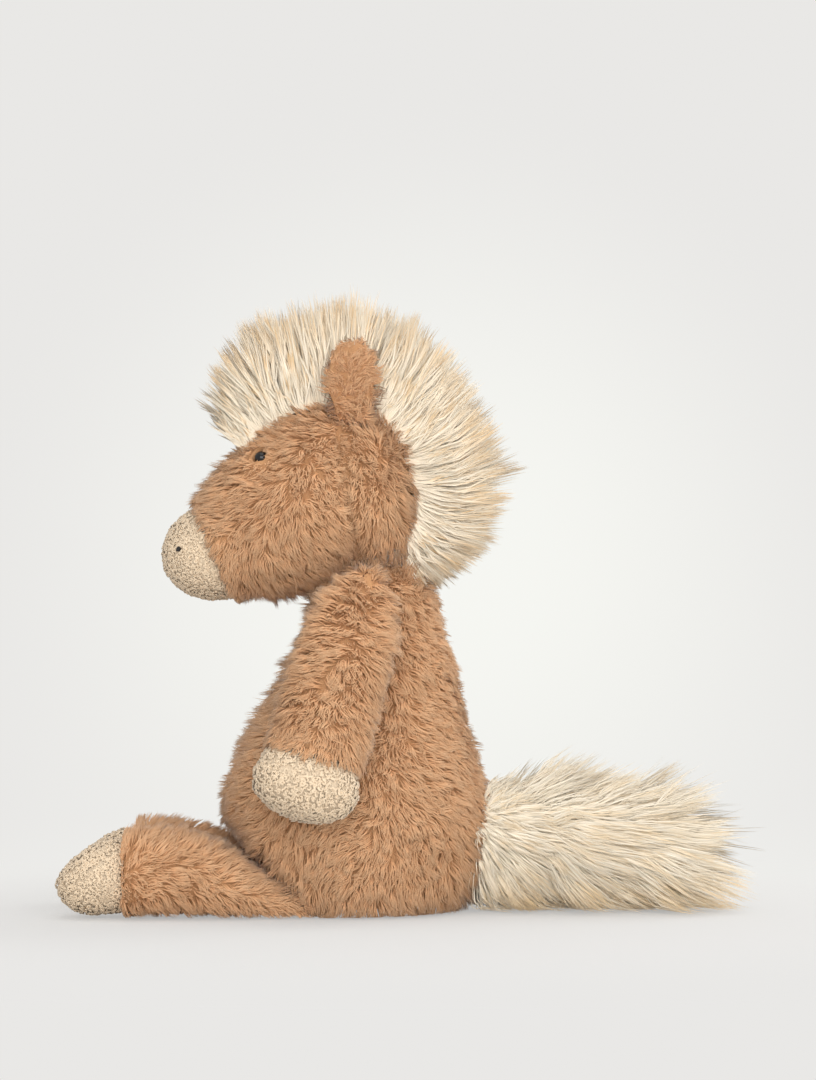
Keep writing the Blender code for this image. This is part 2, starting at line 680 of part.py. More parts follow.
def make_head():
    """Head skin, muzzle, stuffing and the neck wad that the head rocks on; returns the head's forms."""
    neck_point = (NECK_X, 0, NECK_HEIGHT)
    neck = pivot("neck_joint", neck_point)
    head = pivot("head_joint", neck_point, neck)
    bag = head_bag()
    last = len(bag.rings) - 1
    fur = bag.grown(HEAD_PILE)
    boucle = bag.grown(BOUCLE_PILE)
    skin = walled(
        "head_skin",
        bag.stretch(MUZZLE_SEAM_RING, last).shifted_end(0, GAP),
        fur.stretch(MUZZLE_SEAM_RING, last).shifted_end(0, GAP),
        CARAMEL,
    )
    muzzle = walled(
        "muzzle_skin", bag.stretch(0, MUZZLE_SEAM_RING), boucle.stretch(0, MUZZLE_SEAM_RING), CREAM_BOUCLE,
    )
    stuffing = filled("head_stuffing", bag.grown(-GAP).thinned(STUFFING_SIDES_SHARE), FIBRE)

    under = NECK_RADIUS + RUNNING_GAP
    over = under + WAD_THICKNESS
    edge = NECK_OPENING_RADIUS - RUNNING_GAP
    wad = turned("neck_wad", wad_profile(under, over, edge), neck_point, HEAD_SIDES)
    add_part(wad, FIBRE)
    opening = turned("neck_opening", opening_profile(under, over), neck_point, BALL_SIDES)
    cutters.objects.link(opening)
    hide(opening)
    cut(skin, opening)
    bpy.ops.mesh.primitive_uv_sphere_add(
        segments=BALL_SIDES, ring_count=BALL_SIDES // 2, radius=over + GAP, location=neck_point,
    )
    cut(stuffing, as_cutter("neck_pocket"))
    hang(neck, wad)
    hang(head, skin, muzzle, stuffing)
    return bag, fur, boucle


def opening_profile(under, over):
    """Radii and heights of the neck's room in the head skin: a round opening on top of a ball."""
    top = over + CUT_OVERRUN
    ball = np.linspace(math.acos(NECK_OPENING_RADIUS / under), -math.pi / 2, BALL_SIDES // 2)
    rows = [(0, top), (NECK_OPENING_RADIUS, top)]
    rows += [(under * math.cos(angle), under * math.sin(angle)) for angle in ball]
    rows[-1] = (0, -under)
    return rows


def wad_profile(under, over, edge):
    """Radii and heights of the lens between two balls about the neck, from its top down to its foot."""
    top = np.linspace(math.pi / 2, math.acos(edge / over), DOME_RINGS)
    foot = np.linspace(math.acos(edge / under), math.pi / 2, DOME_RINGS)
    rows = [(over * math.cos(angle), over * math.sin(angle)) for angle in top]
    rows += [(under * math.cos(angle), under * math.sin(angle)) for angle in foot]
    rows[0] = (0, over)
    rows[-1] = (0, under)
    return rows


def make_eye(side, word, bag_tree, fur_tree):
    """A bead sunk in the fur, its shank through the skin and the washer on it inside the head."""
    fur_point, out = touched(fur_tree, head_place(*EYE_SHARE, side), (0, -side, 0))
    skin_point, _ = touched(bag_tree, fur_point, -out)
    bead_middle = skin_point + out * (BACKING + GAP + EYE_RADIUS)
    bpy.ops.mesh.primitive_uv_sphere_add(
        segments=SMALL_SIDES, ring_count=SMALL_SIDES // 2, radius=EYE_RADIUS, location=bead_middle,
    )
    bead = as_part(f"{word}_eye", BLACK_BEAD)
    shank_run = BACKING + GAP + EYE_RADIUS + SHANK_LENGTH
    cylinder(bead_middle, -out, SHANK_RADIUS, shank_run, SMALL_SIDES // 2)
    cut(bead, as_cutter(f"{word}_eye_shank"), "UNION")

    skin = bpy.data.objects["head_skin"]
    cylinder(skin_point + out * BACKING, out, EYE_RADIUS + GAP, HEAD_PILE + CUT_OVERRUN)
    cut(skin, as_cutter(f"{word}_eye_seat"))
    cylinder(skin_point - out * CUT_OVERRUN, out, SHANK_RADIUS + GAP, CUT_OVERRUN + HEAD_PILE)
    cut(skin, as_cutter(f"{word}_eye_hole"))

    washer_top = skin_point - out * WASHER_SEAT
    cylinder(washer_top, -out, WASHER_RADIUS, WASHER_THICKNESS)
    washer = as_part(f"{word}_eye_washer", CLEAR_PLASTIC)
    cylinder(washer_top + out * CUT_OVERRUN, -out, SHANK_RADIUS + GAP, WASHER_THICKNESS + 2 * CUT_OVERRUN)
    cut(washer, as_cutter(f"{word}_washer_hole"))

    stuffing = bpy.data.objects["head_stuffing"]
    sunk = WASHER_SEAT + WASHER_THICKNESS + GAP
    cylinder(skin_point + out * CUT_OVERRUN, -out, WASHER_RADIUS + GAP, CUT_OVERRUN + sunk)
    cut(stuffing, as_cutter(f"{word}_washer_recess"))
    cylinder(skin_point + out * CUT_OVERRUN, -out, SHANK_RADIUS + GAP, CUT_OVERRUN + SHANK_LENGTH + GAP)
    cut(stuffing, as_cutter(f"{word}_shank_recess"))
    hang(bpy.data.objects["head_joint"], bead, washer)


def make_nostril(side, word, boucle_tree):
    """A short black stitch half sunk in the boucle."""
    point, out = touched(boucle_tree, head_place(*NOSTRIL_SHARE, side), (0, -side, 0))
    turn = out.to_track_quat("Z", "Y").to_euler()
    sizes = (NOSTRIL_LENGTH, NOSTRIL_HEIGHT, NOSTRIL_DEPTH)
    for name, grow in ((f"{word}_nostril", 0), (f"{word}_nostril_seat", GAP)):
        bpy.ops.mesh.primitive_uv_sphere_add(
            segments=SMALL_SIDES // 2, ring_count=SMALL_SIDES // 2, radius=1, location=point, rotation=turn,
        )
        bpy.context.object.scale = [size + grow for size in sizes]
        bpy.ops.object.transform_apply(location=False, rotation=False, scale=True)
        if grow:
            cut(bpy.data.objects["muzzle_skin"], as_cutter(name))
        else:
            hang(bpy.data.objects["head_joint"], as_part(name, BLACK_THREAD))


def make_ear(side, word, fur_tree):
    """A leaf-shaped ear of two panels with a round foot, in a groove in the head's fur."""
    point, out = touched(fur_tree, head_place(*EAR_SHARE, side), (0, -side, 0))
    foot = np.array(point - out * EAR_SINK)
    up = np.array([0, side * math.sin(EAR_TILT), math.cos(EAR_TILT)])
    thick = np.array([0, side * math.cos(EAR_TILT), -math.sin(EAR_TILT)])
    across = np.array([1, 0, 0])
    ear = pivot(f"{word}_ear_joint", foot, bpy.data.objects["head_joint"])
    for face, panel in ((1, "outer"), (-1, "inner")):
        rings = []
        for reach, width, thickness in EAR_SHARES:
            middle = foot + up * reach * EAR_HEIGHT
            ring = ellipse(middle, across, thick, width * EAR_WIDTH, thickness * EAR_THICKNESS, EAR_SIDES)
            rings.append(halved(ring, foot, thick * face))
        tips = [
            halved(foot + up * reach, foot, thick * face)
            for reach in (-EAR_THICKNESS / 2, EAR_HEIGHT)
        ]
        hang(ear, filled(f"{word}_ear_{panel}", Form(rings, *tips), CARAMEL))
    reach = EAR_WIDTH * EAR_SHARES[1][1] + EAR_SEAT_GAP
    cylinder(foot - across * reach, across, EAR_THICKNESS / 2 + EAR_SEAT_GAP, 2 * reach)
    cut(bpy.data.objects["head_skin"], as_cutter(f"{word}_ear_groove"))


def halved(points, middle, way):
    """The points with those behind the middle plane brought onto it, half a gap in front of it."""
    ahead = (points - middle) @ way
    return points + np.multiply.outer(np.maximum(ahead, GAP / 2) - ahead, way)


def crest_line(fur):
    """The head's outline in its middle plane from the forehead over the crown and down the nape."""
    front = NECK_X + MANE_FRONT_SHARE * HEAD_LENGTH
    crown = [ring[0] for ring in fur.rings if ring[0][0] > front]
    nape = fur.end - np.array([MANE_NAPE_TUCK, 0, MANE_NAPE_DROP])
    return np.array(crown + [fur.end, nape])


def make_mane(fur):
    """The backing strip on the crest and the fan of pile that stands on it."""
    line = crest_line(fur)
    slope = np.gradient(line, axis=0)
    out = np.stack([-slope[:, 2], slope[:, 1], slope[:, 0]], axis=1)
    out /= np.linalg.norm(out, axis=1, keepdims=True)
    half_strip = np.array([0, MANE_STRIP_WIDTH / 2, 0])
    strip = []
    for point, way in zip(line, out):
        low = point + way * GAP
        high = low + way * MANE_STRIP_THICKNESS
        strip.append([low - half_strip, high - half_strip, high + half_strip, low + half_strip])
    head = bpy.data.objects["head_joint"]
    hang(head, filled("mane_backing", Form(strip), WEBBING))

    runs = np.concatenate([[0], np.cumsum(np.linalg.norm(np.diff(line, axis=0), axis=1))])
    places, angles, lengths = np.array(MANE_HAIR_SHARES).T
    angles = np.radians(np.interp(runs / runs[-1], places, angles))
    lengths = np.interp(runs / runs[-1], places, lengths) * MANE_PILE
    fan = []
    for point, way, angle, length in zip(line, out, angles, lengths):
        foot = point + way * (MANE_STRIP_THICKNESS + 2 * GAP)
        hair = np.array([math.cos(angle), 0, math.sin(angle)]) * length
        side = np.array([0, MANE_THICKNESS / 2, 0])
        near = [foot + hair * along - side * half for along, half in MANE_OUTLINE_SHARES]
        far = [foot + hair * along + side * half for along, half in MANE_OUTLINE_SHARES]
        fan.append(near + [foot + hair] + far[::-1])
    hang(head, filled("mane_pile", Form(fan), CREAM_PILE))


def make_tail():
    """The tail's rolled core, knotted at the root so that it can lift, and the brush of pile round it."""
    outer, _, _ = torso_profiles()
    torso_rings, _ = torso_form(outer, 0)
    back, _ = touched(surface_tree(Form(torso_rings)), (BELLY_RADIUS * 2, 0, TAIL_Z), (-1, 0, 0))
    root = np.array([back.x + RUNNING_GAP + TAIL_ROOT_RADIUS, 0, TAIL_Z])
    tail = pivot("tail_joint", root)
    rings = []
    for reach, height, width in TAIL_SHARES:
        half_height = height * TAIL_HEIGHT
        rest = smooth_step(reach / TAIL_REST_SHARE)
        middle = root + np.array([reach * TAIL_LENGTH, 0, 0])
        middle[2] += (FLOOR_GAP + half_height + TAIL_TIP_LIFT * max(reach, 0) ** 4 - TAIL_Z) * rest
        rings.append(ellipse(middle, (0, 0, 1), (0, 1, 0), half_height, width * TAIL_WIDTH, LIMB_SIDES))
    start = root - np.array([TAIL_ROOT_RADIUS, 0, 0])
    end = rings[-1].mean(axis=0)
    end[0] = root[0] + TAIL_LENGTH
    brush = filled("tail_pile", Form(rings, start, end), CREAM_PILE)

    way = Vector((math.cos(TAIL_CORE_SLOPE), 0, -math.sin(TAIL_CORE_SLOPE)))
    thinning = (TAIL_CORE_RADIUS - TAIL_CORE_TIP_RADIUS) / TAIL_CORE_LENGTH
    for grow in (0, GAP):
        length = TAIL_CORE_LENGTH + grow
        bpy.ops.mesh.primitive_cone_add(
            vertices=SMALL_SIDES, depth=length,
            radius1=TAIL_CORE_RADIUS + grow, radius2=TAIL_CORE_TIP_RADIUS - thinning * grow + grow,
            location=Vector(root) + way * (length / 2), rotation=way.to_track_quat("Z", "Y").to_euler(),
        )
        if grow:
            cut(brush, as_cutter("tail_core_bore"))
        else:
            core = as_part("tail_backing", WEBBING)
        bpy.ops.mesh.primitive_uv_sphere_add(
            segments=SMALL_SIDES, ring_count=SMALL_SIDES // 2, radius=TAIL_ROOT_RADIUS + grow, location=root,
        )
        if grow:
            cut(brush, as_cutter("tail_knot_bore"))
        else:
            cut(core, as_cutter("tail_knot"), "UNION")
    hang(tail, core, brush)


def build():
    """Builds every part of the horse."""
    make_torso()
    bag, fur, boucle = make_head()
    bag_tree, fur_tree, boucle_tree = (surface_tree(form) for form in (bag, fur, boucle))
    make_mane(fur)
    make_tail()
    for side, word in ((-1, "left"), (1, "right")):
        make_eye(side, word, bag_tree, fur_tree)
        make_nostril(side, word, boucle_tree)
        make_ear(side, word, fur_tree)
        make_arm(side, word)
        make_leg(side, word)


for old in list(bpy.data.objects):
    bpy.data.objects.remove(old, do_unlink=True)
horse = bpy.data.collections.new("plush_horse")
cutters = bpy.data.collections.new("cutters")
bpy.context.scene.collection.children.link(horse)
bpy.context.scene.collection.children.link(cutters)
build()
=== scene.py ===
import math

import bmesh
import bpy
import numpy as np
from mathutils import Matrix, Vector
from mathutils.bvhtree import BVHTree


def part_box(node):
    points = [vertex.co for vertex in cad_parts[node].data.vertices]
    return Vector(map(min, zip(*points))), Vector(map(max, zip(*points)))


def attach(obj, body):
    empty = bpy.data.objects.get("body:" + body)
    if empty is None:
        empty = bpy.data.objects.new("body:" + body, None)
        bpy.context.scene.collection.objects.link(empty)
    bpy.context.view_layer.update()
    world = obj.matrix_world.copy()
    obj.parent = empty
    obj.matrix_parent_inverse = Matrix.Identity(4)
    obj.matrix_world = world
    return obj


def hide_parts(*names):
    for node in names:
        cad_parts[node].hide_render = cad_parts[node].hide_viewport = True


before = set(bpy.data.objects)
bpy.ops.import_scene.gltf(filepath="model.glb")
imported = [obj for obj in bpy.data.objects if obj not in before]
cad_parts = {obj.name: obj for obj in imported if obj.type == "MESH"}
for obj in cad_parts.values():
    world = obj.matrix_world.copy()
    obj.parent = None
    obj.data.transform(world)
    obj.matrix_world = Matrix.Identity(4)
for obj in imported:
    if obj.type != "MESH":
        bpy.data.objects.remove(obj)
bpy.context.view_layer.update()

# The studio: a seamless pale sweep that runs back from under the horse and up behind it, soft
# light from all round, and a lens at the height of the horse's belly that looks square at its
# left side. Image rows and columns are those of the 816 x 1080 photograph.
ROWS = 1080
COLUMN_OF_MIDDLE = 402.5        # the image column on which the part's X = 0 lies
COLUMN_OF_AXIS = 408            # the image's own middle column
ROW_OF_FLOOR = 909.5            # where the seat meets the floor
ROW_OF_HORIZON = 630
METRES_PER_PIXEL = 0.00055      # in the horse's middle plane
CAMERA_DISTANCE = 1.6
SWEEP_FRONT = -6.0
SWEEP_BEND = 0.75               # the sweep starts to rise this far behind the horse
SWEEP_RADIUS = 0.45
SWEEP_HEIGHT = 2.2
SWEEP_HALF_WIDTH = 6.0
# The backdrop's glow to the camera is painted brighter round a middle behind the horse: a painted pool of
# light that fades to the edge colour.
BACKDROP_HALO_LIGHT = (0.922, 0.925, 0.885)
BACKDROP_EDGE = (0.815, 0.806, 0.790)
HALO_SHIFT = (-0.024, -0.30, -0.22)    # brings the halo's middle to the origin
HALO_FLATNESS = (1, 1.2, 1)
HALO_REACH = (0.05, 0.47)       # from its middle, over which the centre's colour turns into the edge's
NO_LIMIT = 9
FLOOR_COLOUR = (0.72, 0.715, 0.705)
SHADOW_REACH = (0.14, 0.42)     # from the part's origin, over which the paper turns into plain glow
ROOM_COLOUR = (1.0, 0.99, 0.975)
ROOM_STRENGTH = 0.60


def placed(name, data):
    """A new object in the scene of a mesh, a lamp or a lens."""
    thing = bpy.data.objects.new(name, data)
    bpy.context.scene.collection.objects.link(thing)
    return thing


def sheet_mesh(name, grid, comes_round=False):
    """Mesh object from a grid of points: grid[i, j] is the surface at the i-th and j-th parameter.

    Neighbouring points are joined by quads. Where it comes round, the last j joins the first.
    """
    rows, columns = grid.shape[:2]
    i = np.arange(rows - 1)[:, None]
    j = np.arange(columns if comes_round else columns - 1)[None, :]
    beside = (j + 1) % columns
    quads = np.stack([
        i * columns + j, (i + 1) * columns + j, (i + 1) * columns + beside, i * columns + beside,
    ], axis=-1).reshape(-1, 4)
    mesh = bpy.data.meshes.new(name)
    mesh.from_pydata(grid.reshape(-1, 3).tolist(), [], quads.tolist())
    mesh.shade_smooth()
    return placed(name, mesh)


def feed(tree, node, inputs):
    """Links each named input of a node where a socket is given, and else sets it to the value."""
    for name, given in inputs.items():
        if isinstance(given, bpy.types.NodeSocket):
            tree.links.new(given, node.inputs[name])
        else:
            node.inputs[name].default_value = given


def wired(tree, kind, output, inputs={}, **settings):
    """The named output of a new node of a kind, with its settings made and its inputs fed."""
    node = tree.nodes.new(f"ShaderNode{kind}")
    for setting, value in settings.items():
        setattr(node, setting, value)
    feed(tree, node, inputs)
    return node.outputs[output]


def mixed(tree, factor, *colours):
    """The first of two colours where the factor is 0, and the second where it is 1."""
    first, second = ((*c, 1) if isinstance(c, tuple) else c for c in colours)
    return wired(tree, "Mix", "Result", {"Factor": factor, "A": first, "B": second}, data_type="RGBA")


def ranged(tree, value, limits, interpolation="LINEAR"):
    """A value carried from one range to another, by the names of the limits."""
    return wired(tree, "MapRange", "Result", {"Value": value, **limits}, interpolation_type=interpolation)


def new_material(name, finish):
    """A new material with its node tree and its Principled shader, whose inputs get the finish."""
    material = bpy.data.materials.new(name)
    material.use_nodes = True
    tree = material.node_tree
    principled = tree.nodes["Principled BSDF"]
    feed(tree, principled, finish)
    return material, tree, principled


def looked_at(tree):
    """A socket that is 1 for rays of the camera, also in a mirror or through glass, and else 0."""
    seen = wired(tree, "LightPath", "Is Camera Ray")
    rays = seen.node.outputs
    for kind in ("Is Glossy Ray", "Is Transmission Ray"):
        seen = wired(tree, "Math", "Value", {0: seen, 1: rays[kind]}, operation="MAXIMUM")
    return seen


def sweep_material():
    """Matt pale paper that takes shadows near the horse and further off glows to the camera, brighter in a
    halo behind the horse: a painted pool of light that fades to the edge colour.
    """
    material, tree, paper = new_material("studio_sweep", {
        "Base Color": (*FLOOR_COLOUR, 1), "Roughness": 0.9, "Specular IOR Level": 0.1,
    })
    place = wired(tree, "TexCoord", "Object")
    halo = {"Vector": place, "Location": HALO_SHIFT, "Scale": HALO_FLATNESS}
    centred = wired(tree, "Mapping", "Vector", halo)
    limits = {0: centred, 1: (NO_LIMIT, 0, NO_LIMIT)}
    in_front = wired(tree, "VectorMath", "Vector", limits, operation="MINIMUM")
    away = wired(tree, "VectorMath", "Value", {0: in_front}, operation="LENGTH")
    painted_shading = ranged(tree, away, {"From Min": HALO_REACH[0], "From Max": HALO_REACH[1]}, "SMOOTHSTEP")
    colour = mixed(tree, painted_shading, BACKDROP_HALO_LIGHT, BACKDROP_EDGE)
    from_part = wired(tree, "VectorMath", "Value", {0: place}, operation="LENGTH")
    bare = ranged(tree, from_part, {
        "From Min": SHADOW_REACH[0], "From Max": SHADOW_REACH[1], "To Min": 0.50,
    }, "SMOOTHERSTEP")
    share = wired(tree, "Math", "Value", {0: looked_at(tree), 1: bare}, operation="MULTIPLY")
    surface = wired(tree, "MixShader", "Shader", {
        "Fac": share, 1: paper.outputs["BSDF"], 2: wired(tree, "Emission", "Emission", {"Color": colour}),
    })
    feed(tree, tree.nodes["Material Output"], {"Surface": surface})
    return material


bend = np.linspace(0, math.pi / 2, 25)
across = np.array([SWEEP_HALF_WIDTH, -SWEEP_HALF_WIDTH])
risen = SWEEP_BEND + SWEEP_RADIUS * np.sin(bend)
sweep_y = np.concatenate([[SWEEP_FRONT], risen, [SWEEP_BEND + SWEEP_RADIUS]])
sweep_z = np.concatenate([[0], SWEEP_RADIUS * (1 - np.cos(bend)), [SWEEP_HEIGHT]])
sweep = sheet_mesh(
    "studio_sweep", np.stack(np.broadcast_arrays(across, sweep_y[:, None], sweep_z[:, None]), axis=-1)
)
sweep.data.materials.append(sweep_material())

lens = bpy.data.cameras.new("camera")
lens.sensor_fit = "VERTICAL"
lens.sensor_height = 24
lens.lens = lens.sensor_height / 2 / (ROWS / 2 * METRES_PER_PIXEL / CAMERA_DISTANCE)
lens.clip_end = 20
camera = placed("camera", lens)
camera_height = (ROW_OF_FLOOR - ROW_OF_HORIZON) * METRES_PER_PIXEL
aim_height = (ROW_OF_FLOOR - ROWS / 2) * METRES_PER_PIXEL
camera.location = ((COLUMN_OF_AXIS - COLUMN_OF_MIDDLE) * METRES_PER_PIXEL, -CAMERA_DISTANCE, camera_height)
camera.rotation_euler = (math.pi / 2 + math.atan((aim_height - camera_height) / CAMERA_DISTANCE), 0, 0)
bpy.context.scene.camera = camera

world = bpy.data.worlds.new("studio")
world.use_nodes = True
tree = world.node_tree
room_light = tree.nodes["Background"]
feed(tree, room_light, {"Color": (*ROOM_COLOUR, 1), "Strength": ROOM_STRENGTH})
room = wired(tree, "MixShader", "Shader", {
    "Fac": looked_at(tree), 1: room_light.outputs["Background"],
    2: wired(tree, "Background", "Background", {"Color": (*BACKDROP_EDGE, 1)}),
})
feed(tree, tree.nodes["World Output"], {"Surface": room})
bpy.context.scene.world = world

# name, place, size, watts
for name, place, size, power in (
    ("soft_box_front", (0.22, -2.2, 0.28), 2.0, 55),
    ("soft_box_top", (0.1, -0.4, 1.9), 1.5, 9),
    ("soft_box_back", (1.3, 0.6, 0.9), 1.0, 9),
):
    lamp = bpy.data.lights.new(name, "AREA")
    lamp.size = size
    lamp.energy = power
    box = placed(name, lamp)
    box.location = place
    box.rotation_euler = (-Vector(place)).to_track_quat("-Z", "Y").to_euler()

bpy.context.scene.view_settings.view_transform = "Standard"


# The torso: a pear-shaped bag of long-pile fur fabric with a flat seat, stuffed with fibre round
# a pouch of pellets. Its pile is combed downwards and gathers in small pointed locks, paler at
# the tips than at the roots. The weave shows between the locks only as a darker ground.
FULL = 1.0      # share of the pile that is grown while trying things
PILE_PER_SQUARE_METRE = 712_000 * FULL
PILE_IN_A_PIECE = 11_500
GROUND_DEPTH = 0.0048                  # the weave lies this far under the pile's mean height
TORSO_PILE_LENGTH = 0.0122
TORSO_PILE_WIDTH = 0.00074
PILE_LIFT = (56, 16)                   # degrees over the cloth at which a hair starts and ends
PILE_STEPS = (0, 0.48, 1)              # shares of a hair's length at which it has its points
PILE_TAPER = (0.9, 1.0, 0)             # its width there, over the full one
PILE_GATHER = 0.40                     # share by which the tips of a lock are drawn together
PILE_STRAY = 0.30                      # radians by which locks and hairs leave the combed way
PILE_WAVE = 0.0008
PILE_SAG = 0.15
HAIR_THINNESS = 0.6
LOCK_SIZE = 0.0042
PILE_SOFTNESS = 0.48                   # how far the pile is lit as one mass
FLOOR_CLEARANCE = 0.0006
SEAT_EDGE = 0.0015                     # under this height the torso rests on its cloth, without pile
# x, z, and the angle in the side view to which the pile is combed there, in degrees from +X
TORSO_COMBING = (
    (-0.050, 0.150, 235), (-0.080, 0.100, 230), (-0.090, 0.050, 225), (-0.060, 0.015, 215),
    (0.015, 0.165, -55), (0.020, 0.110, -40), (0.035, 0.060, -50), (0.020, 0.015, -70),
    (-0.020, 0.030, 260), (-0.020, 0.080, -75),
)
TORSO_COMB_REACH = 0.032
# share added to the pile's length on the chest, the back and the belly: x and z at which it
# starts, each with the way over which it rises to the full share
TORSO_TRIMMING = (
    (0.15, -0.03, -0.02, 0.08, 0.04), (-0.32, 0, 0.02, 0.07, 0.04), (-0.25, -0.05, -0.03, 0.10, -0.03),
)
CARAMEL_ROOT = (0.60, 0.315, 0.150)
CARAMEL_MIDDLE = (0.71, 0.398, 0.210)
CARAMEL_TIP = (0.79, 0.520, 0.315)
SAME_CORNER = 0.00002
HIDDEN_WITHIN = 0.0012                 # pile is left out where another piece lies this close over it
SEAM_WIDTH = 0.010                     # from a seam over which the cloth sinks to its full depth
SEAM_DEPTH_SHARE = 0.06                # of that depth right at the seam
TRIMMED_WITHIN = 0.008                 # of a hoof or the muzzle the pile is shorter
TRIMMED_SHARE = 0.45                   # of its length is left right beside them


def wall(node):
    """Corners, triangles, outward directions at the corners, and which triangles face the open.

    A node is a wall of cloth round stuffing. A triangle faces the open where its own outward
    direction points away from the node's middle. A corner's direction is the mean of those of
    its open triangles, each counted by its area.
    """
    shell = bmesh.new()
    shell.from_mesh(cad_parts[node].data)
    bmesh.ops.remove_doubles(shell, verts=shell.verts, dist=SAME_CORNER)
    bmesh.ops.triangulate(shell, faces=shell.faces)
    shell.verts.index_update()
    corners = np.array([v.co for v in shell.verts])
    triangles = np.array([[v.index for v in f.verts] for f in shell.faces])
    shell.free()
    a, b, c = (corners[triangles[:, k]] for k in range(3))
    facing = np.cross(b - a, c - a)
    outer = ((a + b + c) / 3 - corners.mean(axis=0)) * facing
    open_side = outer.sum(axis=1) > 0
    directions = np.zeros_like(corners)
    for k in range(3):
        np.add.at(directions, triangles[open_side, k], facing[open_side])
    lengths = np.linalg.norm(directions, axis=1, keepdims=True)
    directions = np.divide(directions, lengths, out=np.zeros_like(directions), where=lengths > 0)
    return corners, triangles, directions, open_side


def solids(nodes):
    """A search tree of the triangles of some nodes."""
    corners, triangles = [], []
    for node in nodes:
        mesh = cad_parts[node].data
        mesh.calc_loop_triangles()
        triangles += [[v + len(corners) for v in t.vertices] for t in mesh.loop_triangles]
        corners += [v.co.copy() for v in mesh.vertices]
    return BVHTree.FromPolygons(corners, triangles)


def neighbours(node):
    """A search tree of the cloth pieces round a node, without the long pile and the stuffing."""
    left_out = ("mane_pile", "tail_pile", "bean_pouch", node)
    cloth = [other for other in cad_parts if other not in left_out and "stuffing" not in other]
    return solids(cloth)


def apart(points, tree):
    """How far each point lies from the solids of a search tree."""
    return np.array([tree.find_nearest(Vector(point))[3] for point in points])


def free_of_seams(points, node):
    """A small share where a piece of cloth meets another one, rising to 1 at the seam width from it."""
    return np.clip(apart(points, neighbours(node)) / SEAM_WIDTH, SEAM_DEPTH_SHARE, 1)


def trimmed_beside(points, node):
    """The share of the pile's length that is left near a hoof or the muzzle, rising to 1."""
    away = apart(points, solids([node])) / TRIMMED_WITHIN
    return np.clip(TRIMMED_SHARE + (1 - TRIMMED_SHARE) * away, 0, 1)


def bare_of_others(roots, out, node):
    """Whether no other piece of cloth lies close over each root, so that pile can stand there."""
    others = neighbours(node)
    return np.array([
        others.ray_cast(Vector(root), Vector(way), HIDDEN_WITHIN)[0] is None for root, way in zip(roots, out)
    ])


def ground_cloth(name, node, depth, material, body, slot, *inside):
    """The weave under the pile, in place of the node and what it holds inside.

    It is the node's wall with its open side sunk by a depth. Every corner moves back along its
    outward direction, which is zero on the hidden side, so that the wall stays a closed body.
    Next to another piece the cloth hardly sinks.
    """
    corners, triangles, directions, _ = wall(node)
    sunk = corners - directions * (depth * free_of_seams(corners, node))[:, None]
    mesh = bpy.data.meshes.new(name)
    mesh.from_pydata(sunk.tolist(), [], triangles.tolist())
    mesh.shade_smooth()
    mesh.materials.append(material)
    cloth = placed(name, mesh)
    smooth = cloth.modifiers.new("rounding", "SUBSURF")
    smooth.levels = smooth.render_levels = 1
    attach(cloth, body)
    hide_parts(node, *inside)


def unit(vectors):
    """The vectors scaled to length 1."""
    return vectors / np.maximum(np.linalg.norm(vectors, axis=-1, keepdims=True), 1e-12)


def between(first, second, angles):
    """Directions at angles from the first towards the second: cos a first + sin a second."""
    return first * np.cos(angles)[..., None] + second * np.sin(angles)[..., None]


def ramp(values, start, way):
    """0 up to the start, then rising evenly to 1 over the way, downwards where it is negative."""
    return np.clip((values - start) / way, 0, 1)


def scattered(node, per_square_metre, random):
    """Points spread evenly over a node's open side, with its outward direction at each.

    A triangle takes its share of points by area. In it a point is a mix of the three corners
    with weights 1 - sqrt(u), sqrt(u) (1 - v) and sqrt(u) v, for u and v between 0 and 1.
    """
    corners, triangles, directions, open_side = wall(node)
    triangles = triangles[open_side]
    a, b, c = (corners[triangles[:, k]] for k in range(3))
    area = np.linalg.norm(np.cross(b - a, c - a), axis=1) / 2
    count = int(area.sum() * per_square_metre)
    picked = np.searchsorted(np.cumsum(area) / area.sum(), (np.arange(count) + random.random(count)) / count)
    picked = triangles[np.minimum(picked, len(triangles) - 1)]
    u, v = np.sqrt(random.random(count)), random.random(count)
    weights = np.stack([1 - u, u * (1 - v), u * v], axis=1)[:, :, None]
    return (corners[picked] * weights).sum(axis=1), unit((directions[picked] * weights).sum(axis=1))


def ripple(points, size, seed):
    """A smooth random field between about -1 and 1: a mean of sines along random directions.

    Each sine repeats over 1 to 2 times the size.
    """
    random = np.random.default_rng(seed)
    waves = unit(random.normal(size=(9, 3))) * (math.tau / size / random.uniform(1, 2, (9, 1)))
    return np.sin(points @ waves.T + random.uniform(0, math.tau, 9)).sum(axis=1) / 3


def along_cloth(ways, out):
    """The ways without what points into or out of the cloth."""
    return unit(ways - (ways * out).sum(axis=1, keepdims=True) * out)


def combed(points, out, marks, reach, swirl, swirl_size, seed):
    """The direction in which the pile lies at each point, along the surface.

    It is the mean of the directions at the marks, each fading as a bell curve of its distance in
    the side view, a little drawn down. A ripple turns it by up to about the swirl, in radians.
    """
    x, z, angle = np.array(marks).T
    near = (points[:, [0]] - x) ** 2 + (points[:, [2]] - z) ** 2
    weights = np.exp(-near / (2 * reach**2)) + 1e-9
    angle = np.radians(angle)
    lie = np.stack([weights @ np.cos(angle), np.zeros(len(points)), weights @ np.sin(angle)], axis=1)
    lie = along_cloth(unit(lie) - np.array([0, 0, PILE_SAG]), out)
    return between(lie, np.cross(out, lie), swirl * ripple(points, swirl_size, seed))


def locks_of(points, size, seed):
    """The number of the lock to which each root belongs, and how many locks there are.

    Roots in one cell of a warped cubic lattice make a lock. Three primes tell the cells apart.
    """
    warp = np.stack([ripple(points, size * 4, seed + k) for k in range(3)], axis=1) * size * 0.8
    cells = np.floor((points + warp) / size).astype(np.int64)
    _, lock = np.unique(cells @ np.array([73856093, 19349663, 83492791]), return_inverse=True)
    return lock, lock.max() + 1


